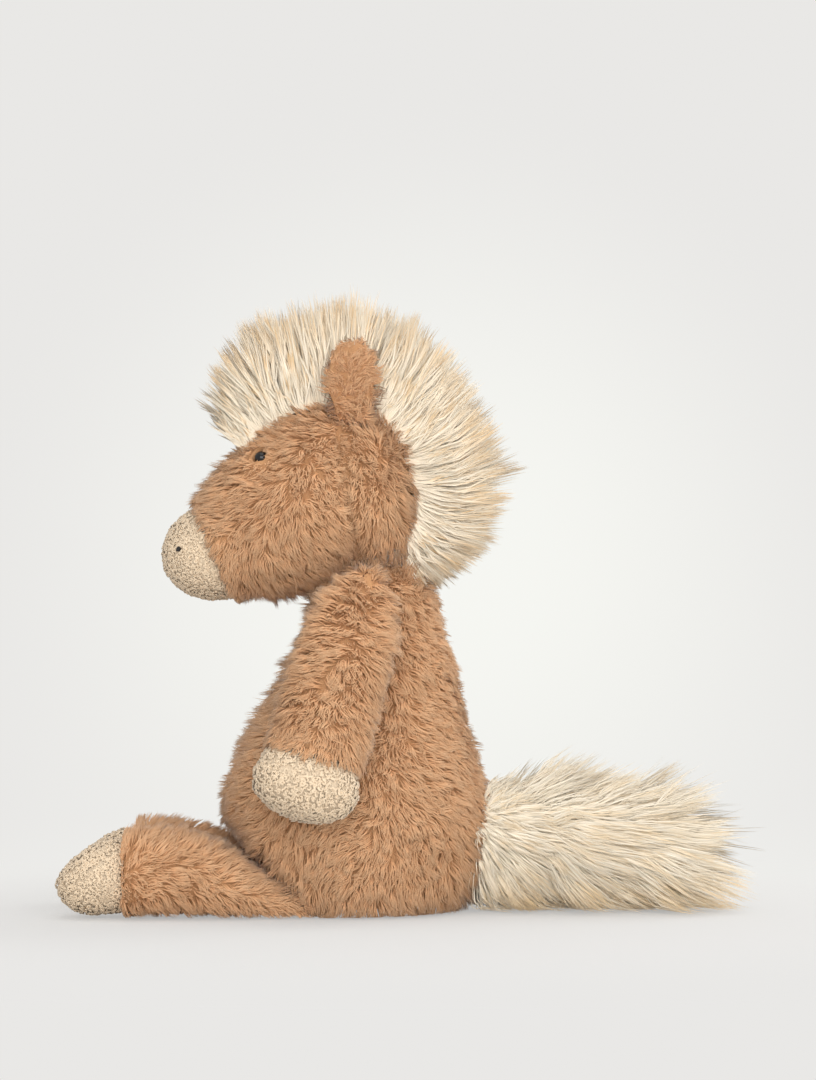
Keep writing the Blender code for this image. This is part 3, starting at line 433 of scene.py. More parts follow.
def bent_paths(roots, length, start, end, t):
    """Hairs that start one way and end another.

    At a share t of its length a hair is at root + length ((t - t*t/2) start + t*t/2 end).
    """
    return roots[:, None, :] + length[:, None, None] * (
        (t - t * t / 2) * start[:, None, :] + t * t / 2 * end[:, None, :]
    )


def gathered(paths, lock, locks, gather, t, power):
    """Hairs drawn to the middle of their lock's tips by the share gather, times t to a power."""
    members = np.bincount(lock, minlength=locks)[:, None]
    tips = np.stack([np.bincount(lock, paths[:, -1, k], locks) for k in range(3)], axis=1) / members
    return paths + (tips[lock] - paths[:, -1])[:, None, :] * gather * t**power


def pile_paths(roots, out, lie, length, random, seed, lock_size, lift):
    """Paths of short pile that rises from the cloth, lies over and runs together in locks.

    A hair starts at the first angle over the cloth and ends at the second or above it. Its lock
    turns, lifts and stretches all its hairs alike, and draws their tips together. A slow
    sideways wave is laid over it.
    """
    count = len(roots)
    lock, locks = locks_of(roots, lock_size, seed)
    angles = random.normal(0, PILE_STRAY * 1.3, locks)[lock] + random.normal(0, PILE_STRAY * 0.9, count)
    lie = between(lie, np.cross(out, lie), angles)
    length = length * random.uniform(0.78, 1.18, locks)[lock] * random.uniform(0.85, 1.1, count)
    rise = np.radians(lift[0]) + random.normal(0, 0.14, locks)[lock]
    fall = np.radians(lift[1]) + np.abs(random.normal(0, 0.42, locks))[lock]
    steps = np.array(PILE_STEPS)
    t = steps[None, :, None]
    paths = bent_paths(roots, length, between(lie, out, rise), between(lie, out, fall), t)
    paths = gathered(paths, lock, locks, PILE_GATHER, t, 1.6)
    side = np.cross(out, lie)
    phase = random.uniform(0, math.tau, locks)[lock][:, None] + random.normal(0, 0.5, count)[:, None]
    swing = np.sin(phase + steps[None, :] * 4.2) - np.sin(phase)
    paths += side[:, None, :] * (swing * PILE_WAVE)[:, :, None]
    paths[:, :, 2] = np.maximum(paths[:, :, 2], FLOOR_CLEARANCE)
    shade = np.clip(0.5 + random.normal(0, 0.16, locks)[lock] + random.normal(0, 0.12, count), 0, 1)
    return paths, side, shade


def ring_edges(rings):
    """The two corners of each edge round all rings but the last of a three-sided tube."""
    return [(ring * 3 + k, ring * 3 + (k + 1) % 3) for ring in range(rings - 1) for k in range(3)]


def many_bodies(name, points, faces, places, own, facing, softness, material):
    """One mesh of many like bodies: points[n, k] is the k-th corner of the n-th one.

    The faces of one body are repeated for all, and the map OFBake holds places[n, k]. A corner's
    shading direction is its own one times 1 - softness plus the facing direction of the whole
    times softness, so that light falls on the bodies as on one soft mass.
    """
    count, each = points.shape[:2]
    loops = (np.arange(count)[:, None] * each + np.concatenate(faces)).ravel()
    sizes = np.tile([len(face) for face in faces], count)
    mesh = bpy.data.meshes.new(name)
    mesh.vertices.add(count * each)
    mesh.vertices.foreach_set("co", points.astype(np.float32).ravel())
    mesh.loops.add(len(loops))
    mesh.loops.foreach_set("vertex_index", loops.astype(np.int32))
    mesh.polygons.add(len(sizes))
    mesh.polygons.foreach_set("loop_start", np.concatenate([[0], np.cumsum(sizes)[:-1]]).astype(np.int32))
    layer = mesh.uv_layers.new(name="OFBake")
    layer.uv.foreach_set("vector", places.reshape(-1, 2)[loops].astype(np.float32).ravel())
    mesh.update(calc_edges=True)
    mesh.shade_smooth()
    directions = unit(own * (1 - softness) + facing[:, None, :] * softness)
    mesh.normals_split_custom_set_from_vertices(directions.reshape(-1, 3).tolist())
    mesh.materials.append(material)
    return placed(name, mesh)


def tuft_mesh(name, paths, side, width, shade, taper, facing, softness, material):
    """One closed three-sided spike along each path, as a single mesh.

    paths[n, k] are the points of the n-th spike from root to tip. Round every point but the last
    stand three corners, on a circle of the spike's width times taper[k], squeezed across the side
    direction. The tip is one point. The map holds the share of the way from root to tip and
    the spike's shade, each a little inside the map's edges.
    """
    count, rings = paths.shape[0], paths.shape[1] - 1
    run = unit(np.gradient(paths, axis=1))
    flat = unit(np.cross(run, np.cross(side[:, None, :], run)))
    up = np.cross(run, flat) * HAIR_THINNESS
    spokes = between(flat[:, :rings, None], up[:, :rings, None], np.radians([90, 210, 330]))
    radius = (width[:, None] / 2 * np.asarray(taper)[None, :])[:, :rings, None, None]
    corners = paths[:, :rings, None, :] + radius * spokes
    points = np.concatenate([corners.reshape(count, rings * 3, 3), paths[:, -1:, :]], axis=1)
    own = np.concatenate([unit(spokes).reshape(count, rings * 3, 3), run[:, -1:, :]], axis=1)
    last = (rings - 1) * 3
    faces = [(low, beside, beside + 3, low + 3) for low, beside in ring_edges(rings)]
    faces += [(last + k, last + (k + 1) % 3, rings * 3) for k in range(3)] + [(2, 1, 0)]
    along = np.concatenate([np.repeat(np.arange(rings) / rings, 3), [1.0]]) * 0.98 + 0.01
    beside = np.append(np.tile([0, 0.01, 0.02], rings), 0.01)
    places = np.stack(np.broadcast_arrays(along, shade[:, None] * 0.96 + 0.01 + beside), axis=2)
    return many_bodies(name, points, faces, places, own, facing, softness, material)


def strand_colour_group():
    """Node group: a strand's colour from its place on the map, from root over middle to tip."""
    group = bpy.data.node_groups.new("strand_colour", "ShaderNodeTree")
    for kind, names in (
        ("Vector", ("Map",)), ("Color", ("Root", "Middle", "Tip")),
        ("Float", ("Root End", "Tip Start", "Tip Varies", "Shade Low", "Shade High")),
    ):
        for name in names:
            group.interface.new_socket(name, in_out="INPUT", socket_type=f"NodeSocket{kind}")
    group.interface.new_socket("Color", in_out="OUTPUT", socket_type="NodeSocketColor")
    given, made = group.nodes.new("NodeGroupInput").outputs, group.nodes.new("NodeGroupOutput")
    along = wired(group, "SeparateXYZ", "X", {"Vector": given["Map"]})
    shade = along.node.outputs["Y"]
    rising = ranged(group, along, {"From Max": given["Root End"]}, "SMOOTHSTEP")
    low = mixed(group, rising, given["Root"], given["Middle"])
    ending = ranged(group, along, {"From Min": given["Tip Start"]}, "SMOOTHSTEP")
    varied = ranged(group, shade, {"To Min": given["Tip Varies"]})
    amount = wired(group, "Math", "Value", {0: ending, 1: varied}, operation="MULTIPLY")
    high = mixed(group, amount, low, given["Tip"])
    bright = ranged(group, shade, {"To Min": given["Shade Low"], "To Max": given["Shade High"]})
    colour = wired(group, "VectorMath", "Vector", {0: high, "Scale": bright}, operation="SCALE")
    feed(group, made, {"Color": colour})
    return group


def pile_material(name, root, middle, tip, root_end, tip_start, tip_varies, shades):
    """Long pile: coloured along each strand by the strand group, matt with a soft sheen."""
    material, tree, principled = new_material(name, {
        "Roughness": 0.85, "Specular IOR Level": 0.10, "Sheen Weight": 0.20, "Sheen Roughness": 0.5,
    })
    colour = wired(tree, "Group", "Color", {
        "Map": wired(tree, "UVMap", "UV", uv_map="OFBake"),
        "Root": (*root, 1), "Middle": (*middle, 1), "Tip": (*tip, 1), "Root End": root_end,
        "Tip Start": tip_start, "Tip Varies": tip_varies, "Shade Low": shades[0], "Shade High": shades[1],
    }, node_tree=strand_colour)
    feed(tree, principled, {"Base Color": colour})
    return material


def pattern(tree, place, textures):
    """The highest at each place of some textures, each with its kind, its inputs and its settings."""
    heights = [
        wired(tree, kind, "Fac", {"Vector": place, **inputs}, **settings)
        for kind, inputs, settings in textures
    ]
    highest = heights[0]
    for height in heights[1:]:
        highest = wired(tree, "Math", "Value", {0: highest, 1: height}, operation="MAXIMUM")
    return highest


def patterned_material(name, textures, dark, light, finish, relief=0.0, strength=1.0, ribs=(), gloss=()):
    """A pattern that mixes a dark and a light colour and stands up by its relief.

    Where ribs are given, the relief follows them, and where a range of gloss is given, the
    roughness follows the pattern over it.
    """
    material, tree, principled = new_material(name, finish)
    place = wired(tree, "TexCoord", "Object")
    height = pattern(tree, place, textures)
    feed(tree, principled, {"Base Color": mixed(tree, height, dark, light)})
    if gloss:
        feed(tree, principled, {"Roughness": ranged(tree, height, {"To Min": gloss[0], "To Max": gloss[1]})})
    if relief:
        raised = pattern(tree, place, ribs) if ribs else height
        bump = {"Height": raised, "Distance": relief, "Strength": strength}
        feed(tree, principled, {"Normal": wired(tree, "Bump", "Normal", bump)})
    return material


def ground_material(name, dark, light):
    """Knitted backing seen between the roots: fine ribs under a slow blotch."""
    return patterned_material(
        name, [("TexNoise", {"Scale": 160, "Detail": 4}, {})], dark, light, {"Roughness": 0.95}, 0.0004, 0.5,
        [("TexWave", {"Scale": 420, "Distortion": 3}, {})],
    )


def fur(name, body, roots, out, lie, length, width, random, seed, painted_shading=0.0,
        softness=PILE_SOFTNESS, lift=PILE_LIFT, lock_size=LOCK_SIZE):
    """Grows caramel pile on a body, in pieces of a limited size, paler or darker by painted shading: a shift
    of each strand's shade that stands in for light and shade.
    """
    paths, side, shade = pile_paths(roots, out, lie, length, random, seed, lock_size, lift)
    shade = np.clip(shade + painted_shading, 0, 1)
    width = width * random.uniform(0.7, 1.2, len(roots))
    parts = math.ceil(len(roots) / PILE_IN_A_PIECE)
    order = np.argsort(roots[:, 0] + 0.001 * roots[:, 2])
    for number, members in enumerate(np.array_split(order, parts), 1):
        piece = tuft_mesh(
            f"{name}_{number}" if parts > 1 else name, paths[members], side[members], width[members],
            shade[members], PILE_TAPER, out[members], softness, caramel_pile,
        )
        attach(piece, body)


strand_colour = strand_colour_group()
caramel_pile = pile_material(
    "caramel_pile", CARAMEL_ROOT, CARAMEL_MIDDLE, CARAMEL_TIP, 0.40, 0.40, 0.25, (0.88, 1.08)
)
caramel_ground = ground_material("caramel_ground", (0.50, 0.260, 0.120), (0.60, 0.330, 0.160))

random = np.random.default_rng(11)
ground_cloth(
    "torso_ground", "torso_skin", GROUND_DEPTH, caramel_ground, "torso", "caramel_fur", "torso_stuffing"
)
roots, out = scattered("torso_skin", PILE_PER_SQUARE_METRE, random)
keep = (roots[:, 2] > SEAT_EDGE) & bare_of_others(roots, out, "torso_skin")
roots, out = roots[keep], out[keep]
lie = combed(roots, out, TORSO_COMBING, TORSO_COMB_REACH, 0.55, 0.045, 3)
free = free_of_seams(roots, "torso_skin")
length = TORSO_PILE_LENGTH * (0.75 + 0.25 * free)
for added, from_x, way_x, from_z, way_z in TORSO_TRIMMING:
    length *= 1 + added * ramp(roots[:, 0], from_x, way_x) * ramp(roots[:, 2], from_z, way_z)
fur("torso_pile", "torso", roots - out * (GROUND_DEPTH * free)[:, None], out, lie, length,
    TORSO_PILE_WIDTH, random, 31)


# The head: the same fur fabric on an egg-shaped stuffed form, sewn together behind the cheek and
# open underneath for the neck. Its pile is combed down and back from the brow and turns over the
# seam. Round the eyes and next to the muzzle it is trimmed short. Along the seam behind the cheek
# the pile is painted darker, as painted shade in the crease.
HEAD_PILE_LENGTH = 0.0116
HEAD_PILE_WIDTH = 0.00070
HEAD_COMBING = (
    (-0.105, 0.225, 205), (-0.085, 0.250, 220), (-0.060, 0.262, 232), (-0.040, 0.268, 240),
    (-0.095, 0.200, 250), (-0.075, 0.225, 242), (-0.055, 0.240, 240), (-0.100, 0.178, 235),
    (-0.082, 0.182, 285), (-0.055, 0.185, 322), (-0.060, 0.208, 310), (-0.040, 0.218, 350),
    (-0.042, 0.240, 350), (-0.018, 0.250, 205), (-0.010, 0.235, 215), (-0.008, 0.215, 235),
    (-0.010, 0.195, 260),
)
HEAD_COMB_REACH = 0.011
EYE_CLEARING = 0.0042                  # radius of the bare round at the eye
EYE_TRIM_WIDTH = 0.022                 # from there over which the pile would grow by its full length
EYE_CLEARING_X = -0.001                # the bare round's middle, from the eye's
EYE_CLEARING_Z = 0.003
# x and z of the seam behind the cheek, where the pile is drawn in, painted darker as shade in the crease,
# and the two sides meet
CHEEK_SEAM = ((-0.034, 0.262), (-0.0327, 0.250), (-0.029, 0.222), (-0.0245, 0.205), (-0.0206, 0.190))
SEAM_REACH = 0.0045
CHIN_X = -0.08                         # in front of this the pile is short under the chin
CHIN_Z = 0.164
CHIN_RISE = 0.012                      # over that height to its full length

random = np.random.default_rng(12)
ground_cloth(
    "head_ground", "head_skin", GROUND_DEPTH, caramel_ground, "head", "caramel_fur", "head_stuffing"
)
roots, out = scattered("head_skin", PILE_PER_SQUARE_METRE, random)
eye = np.array(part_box("left_eye")).sum(axis=0) / 2
from_eye = np.hypot(roots[:, 0] - eye[0] - EYE_CLEARING_X, roots[:, 2] - eye[2] - EYE_CLEARING_Z)
keep = bare_of_others(roots, out, "head_skin") & (from_eye > EYE_CLEARING)
roots, out, from_eye = roots[keep], out[keep], from_eye[keep]
x, _, z = roots.T
lie = combed(roots, out, HEAD_COMBING, HEAD_COMB_REACH, 0.30, 0.035, 4)
seam_x, seam_z = np.array(CHEEK_SEAM[::-1]).T
from_seam = np.abs(x - np.interp(z, seam_z, seam_x))
drawn_in = np.exp(-(from_seam / SEAM_REACH) ** 2) * (z < seam_z[-1]) * (z > seam_z[0])
trimmed = np.clip(TRIMMED_SHARE + (from_eye - EYE_CLEARING) / EYE_TRIM_WIDTH, 0, 1) * (1 - 0.60 * drawn_in)
trimmed *= trimmed_beside(roots, "muzzle_skin")
trimmed *= np.where(x < CHIN_X, np.clip((z - CHIN_Z) / CHIN_RISE, 0.3, 1), 1)
free = free_of_seams(roots, "head_skin")
# Along the cheek seam the strands' shade is lowered by 0.9 times drawn_in: painted shade in the crease.
fur("head_pile", "head", roots - out * (GROUND_DEPTH * free)[:, None], out, lie,
    HEAD_PILE_LENGTH * trimmed * (0.70 + 0.30 * free), HEAD_PILE_WIDTH, random, 41, -0.9 * drawn_in)


# The muzzle: a cap of cream boucle sewn over the front of the head. Its yarn stands in small
# firm curls, each a loop of about 2 mm, with shadow between them and a plain knit beneath.
CURLS_PER_SQUARE_METRE = 450_000 * FULL
CURL_RADIUS = 0.00076
CURL_BULGE = (0.7, 1, 1, 1, 0.7)       # the yarn's width at each ring of a curl, over the full one
YARN_WIDTH = 0.00110
BOUCLE_DEPTH = 0.0010
KNIT_DEPTH = BOUCLE_DEPTH * 0.15
YARN_SOFTNESS = 0.5
BOUCLE_YARN = (0.76, 0.600, 0.425)
BOUCLE_SHADOW = (0.72, 0.555, 0.385)


def curl_mesh(name, middles, out, random, shade):
    """A curl of yarn at each middle: a three-sided tube on most of a circle, closed at both ends.

    The circle's plane is tilted at random against the cloth. A point of the curl is
    middle + radius (cos a first + sin a second), where a runs over some three quarters of a turn.
    The map holds the height in the cloth and the curl's shade.
    """
    count, rings = len(middles), len(CURL_BULGE)
    first = unit(np.cross(out, random.normal(size=(count, 3))))
    second = between(np.cross(out, first), out, random.uniform(0.10, 0.65, count))
    radius = CURL_RADIUS * random.uniform(0.75, 1.3, count)
    a = -0.9 + np.linspace(0, 1, rings)[None, :] * random.uniform(3.6, 5.4, count)[:, None]
    spoke = between(first[:, None], second[:, None], a)
    paths = middles[:, None, :] + spoke * radius[:, None, None]
    thick = YARN_WIDTH / 2 * random.uniform(0.85, 1.2, count)[:, None] * np.array(CURL_BULGE)
    square = np.cross(first, second)[:, None, None]
    round_yarn = between(spoke[:, :, None], square, np.radians([0, 120, 240]))
    corners = (paths[:, :, None, :] + thick[:, :, None, None] * round_yarn).reshape(count, rings * 3, 3)
    faces = [(low, low + 3, beside + 3, beside) for low, beside in ring_edges(rings)]
    faces += [(0, 1, 2), (rings * 3 - 1, rings * 3 - 2, rings * 3 - 3)]
    height = ((corners - middles[:, None, :]) * out[:, None, :]).sum(axis=2)
    places = np.stack([
        np.clip(0.5 + height / (CURL_RADIUS * 3), 0.01, 0.99),
        shade[:, None] * 0.9 + 0.02 + np.tile([0, 0.02, 0.04], rings)[None, :],
    ], axis=2)
    own = unit(round_yarn).reshape(count, rings * 3, 3)
    return many_bodies(name, corners, faces, places, own, out, YARN_SOFTNESS, boucle_yarn)


def boucle(name, node, body, seed):
    """A boucle cap: the knit in place of the node, and the curls that stand on it."""
    random = np.random.default_rng(seed)
    ground_cloth(f"{name}_knit", node, KNIT_DEPTH, boucle_ground, body, "cream_boucle")
    roots, out = scattered(node, CURLS_PER_SQUARE_METRE, random)
    roots = roots - out * (BOUCLE_DEPTH * random.uniform(-1.0, 0.1, len(roots)))[:, None]
    roots[:, 2] = np.maximum(roots[:, 2], FLOOR_CLEARANCE + CURL_RADIUS + YARN_WIDTH / 2)
    shade = np.clip(0.5 + 0.2 * ripple(roots, 0.008, seed) + random.normal(0, 0.2, len(roots)), 0, 1)
    curls = curl_mesh(f"{name}_curls", roots, out, random, shade)
    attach(curls, body)


boucle_yarn = pile_material(
    "boucle_yarn", BOUCLE_SHADOW, BOUCLE_YARN, (0.80, 0.65, 0.47), 0.42, 0.6, 0.3, (0.95, 1.05)
)
boucle_ground = ground_material("boucle_ground", (0.74, 0.58, 0.41), (0.80, 0.64, 0.46))
boucle("muzzle", "muzzle_skin", "head", 21)


# The eyes: black plastic beads, each moulded with a domed face, a thin rim and a ribbed shank
# that goes through the fabric into a locking washer. Only the dome shows in the fur.
SIDES = (("left", -1), ("right", 1))
BEAD_RADIUS = 0.0037
BEAD_DOME_HEIGHT = 0.0036
BEAD_SINK = BEAD_RADIUS - 0.0006       # the dome's foot lies this far under the node's outermost point
RIM_DEPTH = 0.0010
SHANK_RADIUS = 0.0014
RIDGES = 6
RIDGE_DEPTH = 0.0018                   # of the first ridge under the dome's foot
RIDGE_STEP = 0.0014
GROOVE_STEP = 0.0005                   # from a ridge to the groove behind it
SHANK_DEPTH = 0.0108
SAME_POLE = 0.000002


def closed_piece(name, grids, same):
    """One piece of some surfaces that each come round, with points merged that are the same."""
    shell = bmesh.new()
    for grid in grids:
        part = sheet_mesh(f"{name}_part", grid, True)
        shell.from_mesh(part.data)
        bpy.data.objects.remove(part, do_unlink=True)
    bmesh.ops.remove_doubles(shell, verts=shell.verts, dist=same)
    bmesh.ops.recalc_face_normals(shell, faces=shell.faces)
    mesh = bpy.data.meshes.new(name)
    shell.to_mesh(mesh)
    shell.free()
    mesh.shade_smooth()
    return placed(name, mesh)


def turned_piece(name, profile, origin, axis, sides=40):
    """A solid of revolution: a profile of radii and heights carried round an axis from an origin.

    A point is origin + radius (cos a first + sin a second) + height axis. The profile starts and
    ends on the axis, so both poles are closed.
    """
    first = unit(np.cross(axis, [0.0, 0.3, 1.0]))
    radius, height = np.array(profile).T
    ring = between(first, np.cross(axis, first), np.arange(sides) * math.tau / sides)
    grid = origin + radius[:, None, None] * ring + height[:, None, None] * axis
    return closed_piece(name, [grid], SAME_POLE)


black_bead = patterned_material(
    "black_bead", [("TexNoise", {"Scale": 900}, {})], (0.006, 0.005, 0.005), (0.014, 0.012, 0.011),
    {"Specular IOR Level": 0.35}, gloss=(0.04, 0.12),
)
dome = np.linspace(math.pi / 2, 0, 14)
bead_profile = [(BEAD_RADIUS * math.cos(a), BEAD_DOME_HEIGHT * math.sin(a)) for a in dome]
bead_profile += [
    (BEAD_RADIUS, -RIM_DEPTH * 0.5), (BEAD_RADIUS * 0.9, -RIM_DEPTH * 0.9), (SHANK_RADIUS, -RIM_DEPTH),
]
for ridge in range(RIDGES):
    depth = RIDGE_DEPTH + ridge * RIDGE_STEP
    bead_profile += [(SHANK_RADIUS, -depth), (SHANK_RADIUS * 0.82, -depth - GROOVE_STEP)]
bead_profile += [(SHANK_RADIUS * 0.6, -SHANK_DEPTH + 0.0003), (0, -SHANK_DEPTH)]
for word, side in SIDES:
    corners = np.array([v.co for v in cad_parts[f"{word}_eye"].data.vertices])
    outermost, innermost = corners[np.argmax(corners[:, 1] * side)], corners[np.argmin(corners[:, 1] * side)]
    axis = unit(outermost - innermost)
    bead = turned_piece(f"{word}_eye_bead", bead_profile, outermost - axis * BEAD_SINK, axis)
    bead.data.materials.append(black_bead)
    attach(bead, "head")
    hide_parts(f"{word}_eye")


# The nostrils: a few satin stitches of black thread on each side of the muzzle, laid side by side
# over the boucle and drawn in at both ends.
THREADS = 6
THREAD_WIDTH = 0.00075
STITCH_TILT = math.radians(35)
STITCH_OUT = (-0.45, 1.0, 0.1)         # the way out of the muzzle's side at the right nostril
STITCH_SPREAD = 0.8                    # of the nostril's half height that the threads take
STITCH_BULGE = 0.55                    # of it that their middles stand up
STITCH_SEAT = 0.0012                   # they lie this far over the boucle's mean height
SAME_END = 0.000001


def tubes(name, paths, radius, sides=8):
    """Round closed tubes, one along each path: rings square to the path, drawn to a point at its ends."""
    steps = paths.shape[1]
    run = unit(np.gradient(paths, axis=1))
    first = unit(np.cross(run, [0.31, 0.22, 0.9]))
    swell = np.sqrt(np.clip(1 - np.linspace(-1, 1, steps) ** 2, 0, 1))
    ring = between(first[:, :, None], np.cross(run, first)[:, :, None], np.arange(sides) * math.tau / sides)
    return closed_piece(name, paths[:, :, None, :] + ring * (radius * swell)[None, :, None, None], SAME_END)


black_thread = patterned_material(
    "black_thread", [("TexWave", {"Scale": 1500}, {"bands_direction": "DIAGONAL"})],
    (0.008, 0.007, 0.007), (0.03, 0.027, 0.025), {"Roughness": 0.5}, 0.0001,
)
for word, side in SIDES:
    low, high = np.array(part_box(f"{word}_nostril"))
    middle = (low + high) / 2
    half = (high - low) / 2
    out = unit(np.array(STITCH_OUT) * (1, side, 1))
    forward = unit(np.cross(out, [0, 0, 1.0])) * side
    upward = np.cross(forward, out) * side
    stitch = forward * math.cos(STITCH_TILT) - upward * math.sin(STITCH_TILT)
    shift = np.linspace(-1, 1, THREADS)
    t = np.linspace(-1, 1, 11)
    reach = half[0] * np.sqrt(1 - (shift * STITCH_SPREAD) ** 2)
    rise = half[2] * STITCH_BULGE * (1 - t**2) + half[1] * 0.3 + STITCH_SEAT
    paths = (
        middle + stitch * (reach[:, None] * t[None, :])[:, :, None] + out * rise[None, :, None]
        + np.cross(out, stitch) * (shift * half[2] * STITCH_SPREAD)[:, None, None]
    )
    stitches = tubes(f"{word}_nostril_stitches", paths, THREAD_WIDTH / 2)
    stitches.data.materials.append(black_thread)
    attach(stitches, "head")
    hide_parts(f"{word}_nostril")


# The ears: two leaves of the same fur fabric sewn round the edge and turned, rounded at the top
# and narrow at the foot, where they fold. The pile stands up the leaf and curls over its edge.
# Its strands are painted a little darker than the head's, as painted shade.
EAR_PILE_LENGTH = 0.0090
EAR_PILE_WIDTH = 0.00062
EAR_PILE_DENSITY = 1.6                 # over the torso's
EAR_GROUND_DEPTH = 0.0016
EAR_FLATNESS = 0.12                    # pile grows where the leaf faces sideways by more than this
EAR_FOOT = 0.0005                      # and above this height over its foot
EAR_FAN = 1.35                         # how far the pile turns outwards at the leaf's edges
EAR_SHORTENING = 0.80                  # from the foot's length of 1.35 over the full one to the top's

for word, side in SIDES:
    for panel in ("outer", "inner"):
        random = np.random.default_rng(13)
        node, body = f"{word}_ear_{panel}", f"{word}_ear"
        ground_cloth(f"{node}_ground", node, EAR_GROUND_DEPTH, caramel_ground, body, "caramel_fur")
        roots, out = scattered(node, PILE_PER_SQUARE_METRE * EAR_PILE_DENSITY, random)
        low, high = np.array(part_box(node))
        keep = (np.abs(out[:, 1]) > EAR_FLATNESS) & (roots[:, 2] > low[2] + EAR_FOOT)
        keep &= np.sign(out[:, 1]) == (side if panel == "outer" else -side)
        roots, out = roots[keep], out[keep]
        over = (roots[:, [0]] - (low[0] + high[0]) / 2) / (high[0] - low[0])
        height = (roots[:, 2] - low[2]) / (high[2] - low[2])
        lie = along_cloth(over * np.array([EAR_FAN, 0, 0]) + np.array([0, 0, 0.5]), out)
        lie = between(lie, np.cross(out, lie), 1.1 * ripple(roots, 0.016, 5))
        # The shade of every ear strand is lowered by 0.25: painted shade.
        fur(f"{node}_pile", body, roots - out * EAR_GROUND_DEPTH, out, lie,
            EAR_PILE_LENGTH * (1.35 - EAR_SHORTENING * np.clip(height, 0, 1)), EAR_PILE_WIDTH, random, 51,
            -0.25, 0.25, (54, 14), 0.0030)


# The arms: narrow fur sleeves that hang from a small seam at each side of the neck and swell
# towards a blunt hoof of boucle. The pile is combed down the sleeve and stands off at its edges.
ARM_PILE_LENGTH = 0.0118
ARM_PILE_WIDTH = 0.00074
ARM_GROUND_DEPTH = GROUND_DEPTH * 0.8
ARM_COMBING = (
    (-0.015, 0.185, 290), (-0.030, 0.175, 235), (-0.020, 0.150, 265), (-0.045, 0.140, 225),
    (-0.010, 0.130, 300), (-0.055, 0.110, 225), (-0.015, 0.105, 300), (-0.060, 0.095, 235),
    (-0.020, 0.085, 280),
)
ARM_COMB_REACH = 0.02


def sleeve_roots(limb, depth, random):
    """The ground cloth of a limb's sleeve, and the roots of its pile with what they stand free."""
    node = f"{limb}_skin"
    ground_cloth(f"{limb}_ground", node, depth, caramel_ground, limb, "caramel_fur", f"{limb}_stuffing")
    roots, out = scattered(node, PILE_PER_SQUARE_METRE, random)
    keep = bare_of_others(roots, out, node)
    return roots[keep], out[keep], free_of_seams(roots[keep], node)


for word, _ in SIDES:
    random = np.random.default_rng(14)
    body = f"{word}_arm"
    roots, out, free = sleeve_roots(body, ARM_GROUND_DEPTH, random)
    lie = combed(roots, out, ARM_COMBING, ARM_COMB_REACH, 0.4, 0.03, 6)
    fur(f"{body}_pile", body, roots - out * (ARM_GROUND_DEPTH * free)[:, None], out, lie,
        ARM_PILE_LENGTH * (0.70 + 0.30 * free), ARM_PILE_WIDTH, random, 61)
    boucle(f"{body}_hoof", f"{body}_hoof", body, 22)


# The legs: fur sleeves that lie forwards on the floor, pinched flat where they are sewn under the
# belly, with a boucle hoof at the end. Their pile is combed back from the hoof and down the sides.
LEG_PILE_LENGTH = 0.0110
LEG_PILE_WIDTH = 0.00074
LEG_GROUND_DEPTH = GROUND_DEPTH * 0.55
LEG_COMBING = (
    (-0.152, 0.044, 60), (-0.152, 0.006, -60), (-0.125, 0.045, 20), (-0.120, 0.020, -15),
    (-0.095, 0.040, -30), (-0.095, 0.012, -40), (-0.070, 0.022, -30), (-0.070, 0.006, -30),
)
LEG_COMB_REACH = 0.024
LAIN_FLAT = 0.008                      # height over which the pile grows long that lies on the floor

for word, _ in SIDES:
    random = np.random.default_rng(15)
    body = f"{word}_leg"
    roots, out, free = sleeve_roots(body, LEG_GROUND_DEPTH, random)
    lie = combed(roots, out, LEG_COMBING, LEG_COMB_REACH, 0.6, 0.03, 7)
    trimmed = np.clip((roots[:, 2] + 0.001) / LAIN_FLAT, 0.25, 1) * trimmed_beside(roots, f"{body}_hoof")
    fur(f"{body}_pile", body, roots - out * (LEG_GROUND_DEPTH * free)[:, None], out, lie,
        LEG_PILE_LENGTH * trimmed, LEG_PILE_WIDTH, random, 71)
    boucle(f"{body}_hoof", f"{body}_hoof", body, 23)


# The mane: a strip of very long cream pile sewn along the crest, from the forehead over the crown
# and down the nape. Its hair fans out stiffly, runs together in pointed locks and is tipped gold.
# Shorter hairs among it show their gold tips half way.
MANE_HAIRS = int(16_000 * FULL)
MANE_LENGTH = 0.057
MANE_HAIR_WIDTH = 0.00120
MANE_SPREAD = 0.34               # how far the outermost hairs lean to the side, as a slope
MANE_LOCK_SIZE = 0.0028
MANE_GATHERS = (0.38, 0.22)      # shares by which small and large locks draw their tips together
MANE_WAVE = 0.0014
MANE_DROOP = 0.002
LARGE_LOCK = 2.8                 # size of a large lock over a small one's
LOCK_REACH = 0.018
LONG_STEPS = (0, 0.28, 0.62, 1)
LONG_TAPER = (1.0, 1.1, 0.85, 0)
LONG_SOFTNESS = 0.44
COVERING_SHARE = 0.28            # of the hairs stand at the strip's edges and lie over the seam
SHORT_SHARE = 0.22               # of the locks are short, with their gold tips among the others
SHORT_AT_FRONT = 0.12            # more of them are, towards the forehead
CREST_MIDDLE = np.array([-0.040, 0.0, 0.222])
# angle of the root round the crest's middle, angles at which its hair starts and ends, and its
# length over the full one
MANE_FAN = (
    (-35, -84, -46, 0.39), (-20, -72, -24, 0.61), (-10, -62, -8, 0.74), (0, -48, 4, 0.93),
    (20, -20, 30, 1.10), (40, 10, 54, 0.99), (60, 42, 68, 1.05), (80, 72, 83, 1.09),
    (100, 100, 94, 1.07), (120, 116, 114, 1.03), (138, 122, 132, 0.77), (150, 126, 134, 0.40),
)
CREAM_ROOT = (0.90, 0.790, 0.620)
CREAM_MIDDLE = (0.90, 0.800, 0.645)
GOLD_TIP = (0.80, 0.51, 0.220)


